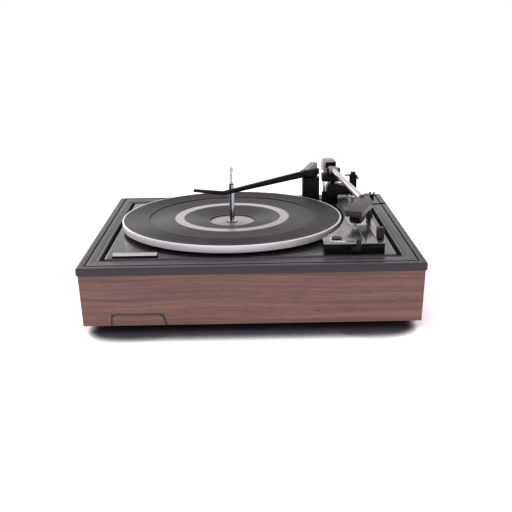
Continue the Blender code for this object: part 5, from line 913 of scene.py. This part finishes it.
@dataclass
class Plinth(Assembly):
    """Veneered boards, the outline on the front board, the base and the feet."""

    board_edge: float = 0.0005
    grommet_edge: float = 0.0003
    foot_edge: float = 0.0006
    facing_up: float = 0.7
    line_width: float = 0.0016
    line_corner: float = 0.0032
    line_proud: float = 0.0002
    line_depth: float = 0.0003
    line_top: float = 0.0229
    line_left: float = -0.1568
    line_right: float = -0.0980
    left_spread: float = 0.0008
    right_spread: float = 0.0040
    # Shares of the line's width, where it isn't even
    slant_share: float = 1.3
    left_foot_share: float = 0.8
    right_foot_share: float = 1.6

    def build(self) -> None:
        """Build every piece of the plinth."""
        for side, grain in (("front", "veneer_x"), ("back", "veneer_x"), ("left", "veneer_y"),
                            ("right", "veneer_y")):
            self.refined(f"plinth_{side}_board", grain, self.board_edge)
        self.outline()
        self.refined("base_board", "hardboard")
        board = self.refined("mounting_board", "chipboard")
        # Painted shade: the board's upward faces are black, for the shade in the gap around the
        # deck plate
        self.accent(board, "soft_black", lambda place, normal: normal.z > self.facing_up)
        self.refined("cord_grommet", "foot", self.grommet_edge)
        for corner in ("front_left", "front_right", "back_left", "back_right"):
            self.refined("foot_" + corner, "foot", self.foot_edge)
            self.refined("spring_" + corner, "steel")

    def outline(self) -> None:
        """Lay the thin dark outline with its filled corners on the front board."""
        low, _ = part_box("plinth_front_board")
        bottom, top, width, corner = low.z + HAIR, self.line_top, self.line_width, self.line_corner
        left, right, under = self.line_left, self.line_right, self.line_top - self.line_width
        slant = width * self.slant_share
        outer = [(left - self.left_spread, bottom), (left, top), (right, top),
                 (right + self.right_spread, bottom)]
        inner = [(right + self.right_spread - width * self.right_foot_share, bottom),
                 (right - width, under - corner), (right - slant - corner, under),
                 (left + width + corner, under), (left + width, under - corner),
                 (left + width * self.left_foot_share, bottom)]
        shape = bmesh.new()
        places = [shape.verts.new((x, low.y - self.line_proud, z)) for x, z in outer + inner]
        face = shape.faces.new(places)
        back = bmesh.ops.extrude_face_region(shape, geom=[face])["geom"]
        moved = [item for item in back if isinstance(item, bmesh.types.BMVert)]
        bmesh.ops.translate(shape, vec=(0, self.line_depth, 0), verts=moved)
        bmesh.ops.recalc_face_normals(shape, faces=shape.faces)
        self.piece("front_outline", shape, "surround", "plinth_front_board", replace=False)


@dataclass
class Surround(Assembly):
    """The moulded plastic surround, with its groove and raised lip."""

    edge: float = 0.0003
    groove_start: float = 0.0074
    groove_end: float = 0.0108
    groove_drop: float = 0.0004
    groove_depth: float = 0.003

    def build(self) -> None:
        """Build the surround, with its groove in shade."""
        made = self.refined("top_frame", "surround", self.edge)
        self.accent(made, "black", self.sunk)

    def sunk(self, place: Vector, normal: Vector) -> bool:
        """Tell whether a face lies in the groove.

        Args:
            place: The face's middle.
            normal: Its normal, which is not used.

        Returns:
            Whether it does.
        """
        offset = place - FRAME_MIDDLE
        inward = min(FRAME_HALF.x - abs(offset.x), FRAME_HALF.y - abs(offset.y))
        drop = FRAME_HIGH.z - place.z
        return (self.groove_start < inward < self.groove_end
                and self.groove_drop < drop < self.groove_depth)


@dataclass
class Fittings(Assembly):
    """Pieces that keep their CAD shape, with softened edges."""

    # The CAD node, finish and edge of each
    pieces: tuple[Fitting, ...]

    def build(self) -> None:
        """Build the pieces in order."""
        for node, finish, edge in self.pieces:
            self.refined(node, finish, edge)


@dataclass
class Deck(Fittings):
    """The unit plate with its badge, and the drive below it."""

    pieces: tuple[Fitting, ...] = (
        ("deck_plate", "deck", 0.0), ("badge_backing", "black", 0.0004),
        ("badge_plate", "badge", 0.0002), ("bearing_bridge", "steel", 0.0),
        ("spindle_bearing", "zinc", 0.0), ("motor_core", "zinc", 0.0),
        ("motor_coil", "copper", 0.0), ("motor_rotor", "steel", 0.0),
        ("idler_wheel", "zinc", 0.0), ("idler_tyre", "foot", 0.0), ("idler_arm", "steel", 0.0),
        ("cycle_cam", "zinc", 0.0), ("hub_pinion", "zinc", 0.0))


@dataclass
class Platter(Assembly):
    """The platter with its mat, silver ring and centre disc, turned finely."""

    steps: int = 192
    rim: float = 0.1397
    rim_low: float = 0.0040
    rim_high: float = 0.0126
    rim_round: float = 0.0010
    rim_inside: float = 0.1370
    lip: float = 0.1374
    plate: float = 0.0096
    plate_thickness: float = 0.0015
    dish: float = 0.0039
    dish_radius: float = 0.0310
    cone_radius: float = 0.0590
    hub: float = 0.0200
    hub_low: float = 0.0012
    neck: float = 0.0135
    neck_low: float = -0.0045
    bore: float = 0.0090
    mat_edge: float = 0.1370
    mat_top: float = 0.0130
    mat_round: float = 0.0007
    mat_inner_top: float = 0.0113
    mat_step: float = 0.1052
    mat_cone: float = 0.0595
    mat_hole: float = 0.0288
    mat_hole_top: float = 0.0068
    rim_shade_radius: float = 0.1356
    ring_inside: float = 0.0614
    ring_outside: float = 0.0727
    ring_top: float = 0.0115
    ring_thickness: float = 0.0006
    disc: float = 0.0284
    disc_rim: float = 0.0250
    disc_rim_width: float = 0.0008
    disc_hole: float = 0.0078
    disc_top: float = 0.0052
    disc_drop: float = 0.0003
    rib_pitch: float = 0.0016
    rib_depth: float = 0.0003
    rib_margin: float = 0.0016
    rib_wave: tuple[float, ...] = (0.0, 0.5, 1.0, 0.5)
    gap: float = 0.0003
    soft: float = 0.0002

    def build(self) -> None:
        """Build the turning pieces."""
        self.make("platter", "turned", self.platter_profile())
        mat = self.make("platter_mat", "mat", self.mat_profile())
        # Painted shade along the mat's outer edge, where it meets the platter's rim
        self.accent(mat, "soft_black", self.in_rim_shade)
        self.make("mat_ring", "ring", self.ring_profile())
        self.make("centre_trim", "disc", self.disc_profile())

    def in_rim_shade(self, place: Vector, normal: Vector) -> bool:
        """Tell whether a face lies in the painted shade along the mat's edge, next to the rim."""
        return (place - PLATTER_CENTRE).xy.length > self.rim_shade_radius

    def make(self, node: str, finish: str, profile: list[Point]) -> bpy.types.Object:
        """Turn a profile in the place of a node.

        Args:
            node: The CAD node.
            finish: The short name of the finish.
            profile: The outline, with heights above the deck.

        Returns:
            The new object.
        """
        raised = [(radius, DECK_TOP + height) for radius, height in profile]
        centre = Vector((*PLATTER_CENTRE.xy, 0.0))
        return self.piece("finished_" + node, self.turned(raised, centre, self.steps), finish, node)

    def platter_profile(self) -> list[Point]:
        """Draw the platter, from its lip down its outer side.

        Returns:
            Its outline, as (radius, height).
        """
        turn, soft = self.rim_round, self.soft
        under, dish_under = self.plate - self.plate_thickness, self.dish - self.plate_thickness
        return (arc((self.lip + soft, self.rim_high - soft), soft, 180, 90, 2)
                + arc((self.rim - turn, self.rim_high - turn), turn, 90, 0, 5)
                + arc((self.rim - turn, self.rim_low + turn), turn, 0, -90, 5)
                + [(self.rim_inside, self.rim_low), (self.rim_inside, under),
                   (self.cone_radius, under), (self.dish_radius, dish_under),
                   (self.hub, dish_under), (self.hub, self.hub_low), (self.neck, self.hub_low),
                   (self.neck, self.neck_low), (self.bore, self.neck_low),
                   (self.bore, self.dish), (self.dish_radius, self.dish),
                   (self.cone_radius, self.plate), (self.lip, self.plate)])

    def ribs(self, start: Point, end: Point) -> list[Point]:
        """Return the wavy outline of the mat's moulded ribs between two points of its top.

        Args:
            start: The inner point, as (radius, height).
            end: The outer point.

        Returns:
            Points whose crests lie on the line between the two.
        """
        low, high = start[0] + self.rib_margin, end[0] - self.rib_margin
        waves = len(self.rib_wave)
        steps = round((high - low) / self.rib_pitch) * waves
        points = []
        for step in range(steps + 1):
            radius = low + (high - low) * step / steps
            top = start[1] + (end[1] - start[1]) * (radius - start[0]) / (end[0] - start[0])
            points.append((radius, top - self.rib_depth * self.rib_wave[step % waves]))
        return points

    def mat_profile(self) -> list[Point]:
        """Draw the mat, with its ribs, step, ring's recess and centre's slope.

        Returns:
            Its outline, as (radius, height).
        """
        turn, gap, soft = self.mat_round, self.gap, self.soft
        floor = self.ring_top - self.ring_thickness - gap
        step_top = self.mat_step + soft * 3
        hole = (self.mat_hole + soft, self.mat_hole_top)
        cone = (self.mat_cone, self.mat_inner_top)
        inside = (self.ring_outside + gap, self.mat_inner_top)
        step = (self.mat_step, self.mat_inner_top)
        return ([(self.mat_hole, self.mat_hole_top - soft), hole] + self.ribs(hole, cone)
                + [cone, (self.ring_inside - gap, self.mat_inner_top),
                   (self.ring_inside - gap, floor), (self.ring_outside + gap, floor), inside]
                + self.ribs(inside, step) + [step]
                + arc((step_top, self.mat_top - soft), soft, 180, 90, 2)
                + self.ribs((step_top, self.mat_top), (self.mat_edge - turn, self.mat_top))
                + arc((self.mat_edge - turn, self.mat_top - turn), turn, 90, 0, 4)
                + [(self.mat_edge, self.plate + gap), (self.cone_radius, self.plate + gap),
                   (self.dish_radius, self.dish + gap), (self.mat_hole, self.dish + gap)])

    def ring_profile(self) -> list[Point]:
        """Draw the silver ring.

        Returns:
            Its outline, as (radius, height).
        """
        top, soft = self.ring_top, self.soft / 2
        low = top - self.ring_thickness
        return [(self.ring_inside, top - soft), (self.ring_inside + soft, top),
                (self.ring_outside - soft, top), (self.ring_outside, top - soft),
                (self.ring_outside, low), (self.ring_inside, low)]

    def disc_profile(self) -> list[Point]:
        """Draw the centre disc, with its raised edge.

        Returns:
            Its outline, as (radius, height).
        """
        top, soft, low = self.disc_top, self.soft, self.dish + self.gap
        flat = top - self.disc_drop
        return [(self.disc_hole, top - soft * 2), (self.disc_hole + soft, flat),
                (self.disc_rim, flat), (self.disc_rim + self.disc_rim_width, top),
                (self.disc - soft, top), (self.disc, top - soft), (self.disc, low),
                (self.disc_hole, low)]


@dataclass
class Spindle(Assembly):
    """The changer spindle and its pusher."""

    shaft_low: float = 0.0070
    shaft_high: float = 0.0500
    shoulder_high: float = 0.0549
    side_normal: float = 0.05

    def build(self) -> None:
        """Build the spindle."""
        # The dark chrome is painted shade on the shaft's left half, and a dark band on its shoulder
        self.accent(self.refined("spindle", "chrome"), "dark_chrome", self.shaded)
        self.refined("spindle_pusher", "black")

    def shaded(self, place: Vector, normal: Vector) -> bool:
        """Tell whether a face gets the painted shade on the shaft's left half, or the dark band on
        its shoulder.

        Args:
            place: The face's middle.
            normal: Its normal.

        Returns:
            Whether it is.
        """
        height = place.z - DECK_TOP
        side = self.shaft_low < height < self.shaft_high and normal.x < self.side_normal
        return side or self.shaft_high <= height < self.shoulder_high


@dataclass
class Controls(Fittings):
    """The control island with its knobs and levers."""

    pieces: tuple[Fitting, ...] = (
        ("control_body", "black", 0.0003), ("control_plate", "panel", 0.0002),
        ("speed_knob", "soft_black", 0.0002), ("function_knob", "soft_black", 0.0003),
        ("size_lever", "soft_black", 0.0004), ("anti_skate_dial", "steel", 0.0002))


@dataclass
class Overarm(Fittings):
    """The record support arm on its post."""

    pieces: tuple[Fitting, ...] = (
        ("overarm_post", "black", 0.0005), ("overarm_shaft", "black", 0.0),
        ("overarm", "black", 0.0004), ("overarm_cap", "grey", 0.0005))


@dataclass
class Tonearm(Fittings):
    """The pickup arm, its pivot, its weight, its head and its rest."""

    pieces: tuple[Fitting, ...] = (
        ("pivot_pedestal", "black", 0.0004), ("arm_carriage", "black", 0.0003),
        ("arm_saddle", "grey", 0.0), ("tonearm_tube", "arm_metal", 0.0))
    later: tuple[Fitting, ...] = (
        ("finger_lift", "black", 0.0), ("arm_rest_post", "soft_black", 0.0004),
        ("clip_post", "black", 0.0002), ("rest_clip", "grey", 0.0002),
        ("cue_bracket", "black", 0.0003), ("cue_lever", "steel", 0.0002),
        ("cue_pin", "steel", 0.0002))
    heading: float = math.radians(9.4)
    shell_heading: float = math.radians(25.3)
    weight_edge: float = 0.0004
    recess_depth: float = 0.0030
    facing: float = 0.8
    shell_edge: float = 0.0005
    shell_facing: float = 0.7
    cartridge_edge: float = 0.0003
    pin_reach: float = 0.0036

    def build(self) -> None:
        """Build the arm and what carries it."""
        super().build()
        self.weight()
        self.head()
        Fittings(self.later).build()

    def weight(self) -> None:
        """Build the counterweight, with painted shade inside its recess and its bore."""
        made = self.refined("counterweight", "grey", self.weight_edge)
        middle = node_centre("counterweight")
        ahead = Vector((math.sin(self.heading), -math.cos(self.heading), 0.0))
        face = max((Vector(point.co) - middle).dot(ahead) for point in made.data.vertices)

        def sunk(place: Vector, normal: Vector) -> bool:
            """Tell whether a face lies inside the recess or the bore, where shade is painted.

            Args:
                place: The face's middle.
                normal: Its normal.

            Returns:
                Whether it does.
            """
            offset = place - middle
            forward = offset.dot(ahead)
            floor = normal.dot(ahead) > self.facing and forward < face - self.recess_depth
            return (offset - ahead * forward).dot(normal) < -HAIR or floor

        self.accent(made, "black", sunk)

    def head(self) -> None:
        """Build the headshell with the cartridge, its gold pins and the stylus."""
        shell = self.refined("headshell", "shell", self.shell_edge)
        ahead = Vector((-math.sin(self.shell_heading), -math.cos(self.shell_heading), 0.0))
        self.accent(shell, "shell_front",
                    lambda place, normal: normal.dot(ahead) > self.shell_facing)
        cartridge = self.refined("cartridge", "black", self.cartridge_edge)
        back = max(-Vector(point.co).dot(ahead) for point in cartridge.data.vertices)
        self.accent(cartridge, "gold",
                    lambda place, normal: -place.dot(ahead) > back - self.pin_reach)
        self.refined("stylus", "grey")


@dataclass(frozen=True)
class Lamp:
    """A square soft light that faces a point."""

    name: str
    place: Vector
    size: float
    energy: float
    target: Vector = Vector((0.0, 0.0, 0.05))

    def hang(self) -> None:
        """Hang the lamp where the camera doesn't see it."""
        data = bpy.data.lights.new(self.name, "AREA")
        data.size, data.energy = self.size, self.energy
        made = bpy.data.objects.new(self.name, data)
        made.location = self.place
        made.rotation_euler = (self.target - self.place).to_track_quat("-Z", "Y").to_euler()
        made.visible_camera = False
        bpy.context.scene.collection.objects.link(made)


@dataclass
class Studio:
    """The floor, the lights, the background and the camera, level and a little above."""

    camera_place: Vector = Vector((0.00014, -1.01368, 0.34826))
    camera_pitch: float = 0.2991
    camera_yaw: float = 0.0056
    camera_roll: float = -0.0158
    camera_lens: float = 57.345
    camera_sensor: float = 36.0
    floor_size: float = 6.0
    world_strength: float = 0.75
    world_colour: Colour = (1.0, 0.975, 0.995)
    floor_colour: Colour = (0.90, 0.90, 0.90)
    floor_seen: Colour = (1.72, 1.70, 1.74)
    floor_dark: Colour = (0.07, 0.066, 0.078)
    contact_samples: int = 64
    contact_reach: float = 0.06
    contact_facing: Vector = Vector((0.0, 0.981, 0.196))
    contact_low: float = 0.54
    contact_high: float = 0.66
    contact_power: float = 1.3
    lamps: tuple[Lamp, ...] = (
        Lamp("key", Vector((-0.5, -0.4, 2.0)), size=1.6, energy=9.0),
        Lamp("side", Vector((-1.1, 1.3, 0.6)), size=0.8, energy=5.0),
        Lamp("glint", Vector((0.42, 2.67, 0.835)), size=0.07, energy=0.25,
             target=Vector((0.105, -0.09, 0.09))))

    def build(self) -> None:
        """Build the whole studio."""
        self.camera()
        self.world()
        self.floor()
        for lamp in self.lamps:
            lamp.hang()
        bpy.context.scene.view_settings.view_transform = "Standard"

    def camera(self) -> None:
        """Place the camera where the photograph was taken."""
        flat = math.cos(self.camera_pitch)
        ahead = Vector((math.sin(self.camera_yaw) * flat, math.cos(self.camera_yaw) * flat,
                        -math.sin(self.camera_pitch)))
        level = Vector((math.cos(self.camera_yaw), -math.sin(self.camera_yaw), 0))
        upright = level.cross(ahead)
        across, along = math.cos(self.camera_roll), math.sin(self.camera_roll)
        right = level * across + upright * along
        above = upright * across - level * along
        data = bpy.data.cameras.new("camera")
        data.lens, data.sensor_width = self.camera_lens, self.camera_sensor
        made = bpy.data.objects.new("camera", data)
        turn = Matrix((right, above, -ahead)).transposed().to_4x4()
        made.matrix_world = Matrix.Translation(self.camera_place) @ turn
        bpy.context.scene.collection.objects.link(made)
        bpy.context.scene.camera = made

    def world(self) -> None:
        """Make a white surrounding that lights the object softly."""
        world = bpy.data.worlds.new("white_room")
        world.use_nodes = True
        wiring = Wiring(world.node_tree)
        light = world.node_tree.nodes["Background"]
        wiring.feed(light.inputs["Color"], self.world_colour)
        wiring.feed(light.inputs["Strength"], self.world_strength)
        seen = wiring.node("ShaderNodeBackground", {"Color": WHITE, "Strength": 1.0})
        self.shown(wiring, light, seen, "World Output")
        bpy.context.scene.world = world

    def shown(self, wiring: Wiring, light: Node, seen: Node, output: str) -> None:
        """Show one shader to rays that see the background, also in metal and glass.

        Args:
            wiring: The wiring of the world or the floor.
            light: The shader that lights the object.
            seen: The shader that is seen.
            output: The name of the output node.
        """
        path = wiring.node("ShaderNodeLightPath", {}).outputs
        bent = wiring.math("MAXIMUM", path["Is Glossy Ray"], path["Is Transmission Ray"])
        ray = wiring.math("MAXIMUM", path["Is Camera Ray"], bent)
        shaders = {0: ray, 1: light.outputs[0], 2: seen.outputs[0]}
        mixed = wiring.node("ShaderNodeMixShader", shaders)
        wiring.feed(wiring.tree.nodes[output].inputs["Surface"], mixed.outputs[0])

    def floor(self) -> None:
        """Lay a pale floor that shows the object's soft shadow and clears to white."""
        shape = bmesh.new()
        bmesh.ops.create_grid(shape, x_segments=1, y_segments=1, size=self.floor_size / 2)
        mesh = bpy.data.meshes.new("floor")
        shape.to_mesh(mesh)
        shape.free()
        made = bpy.data.objects.new("floor", mesh)
        bpy.context.scene.collection.objects.link(made)
        paint = bpy.data.materials.new("pale_floor")
        paint.use_nodes = True
        wiring = Wiring(paint.node_tree)
        plain = wiring.node("ShaderNodeBsdfDiffuse", {"Color": self.floor_colour})
        nearness = wiring.node("ShaderNodeAmbientOcclusion",
                               {"Distance": self.contact_reach,
                                "Normal": wiring.joined(*self.contact_facing)},
                               samples=self.contact_samples)
        open_share = wiring.span(nearness.outputs["AO"], self.contact_low, self.contact_high)
        clear = wiring.math("POWER", open_share, self.contact_power)
        bright = wiring.node("ShaderNodeBsdfDiffuse",
                             {"Color": wiring.mix(clear, self.floor_dark, self.floor_seen)})
        self.shown(wiring, plain, bright, "Material Output")
        mesh.materials.append(paint)


def main() -> None:
    """Build the studio and every sub-assembly, in order."""
    logging.basicConfig(level=logging.INFO, format="%(message)s")
    Studio().build()
    for assembly in (Plinth(), Surround(), Deck(), Platter(), Spindle(), Controls(), Overarm(),
                     Tonearm()):
        assembly.build()


if __name__ == "__main__":
    main()
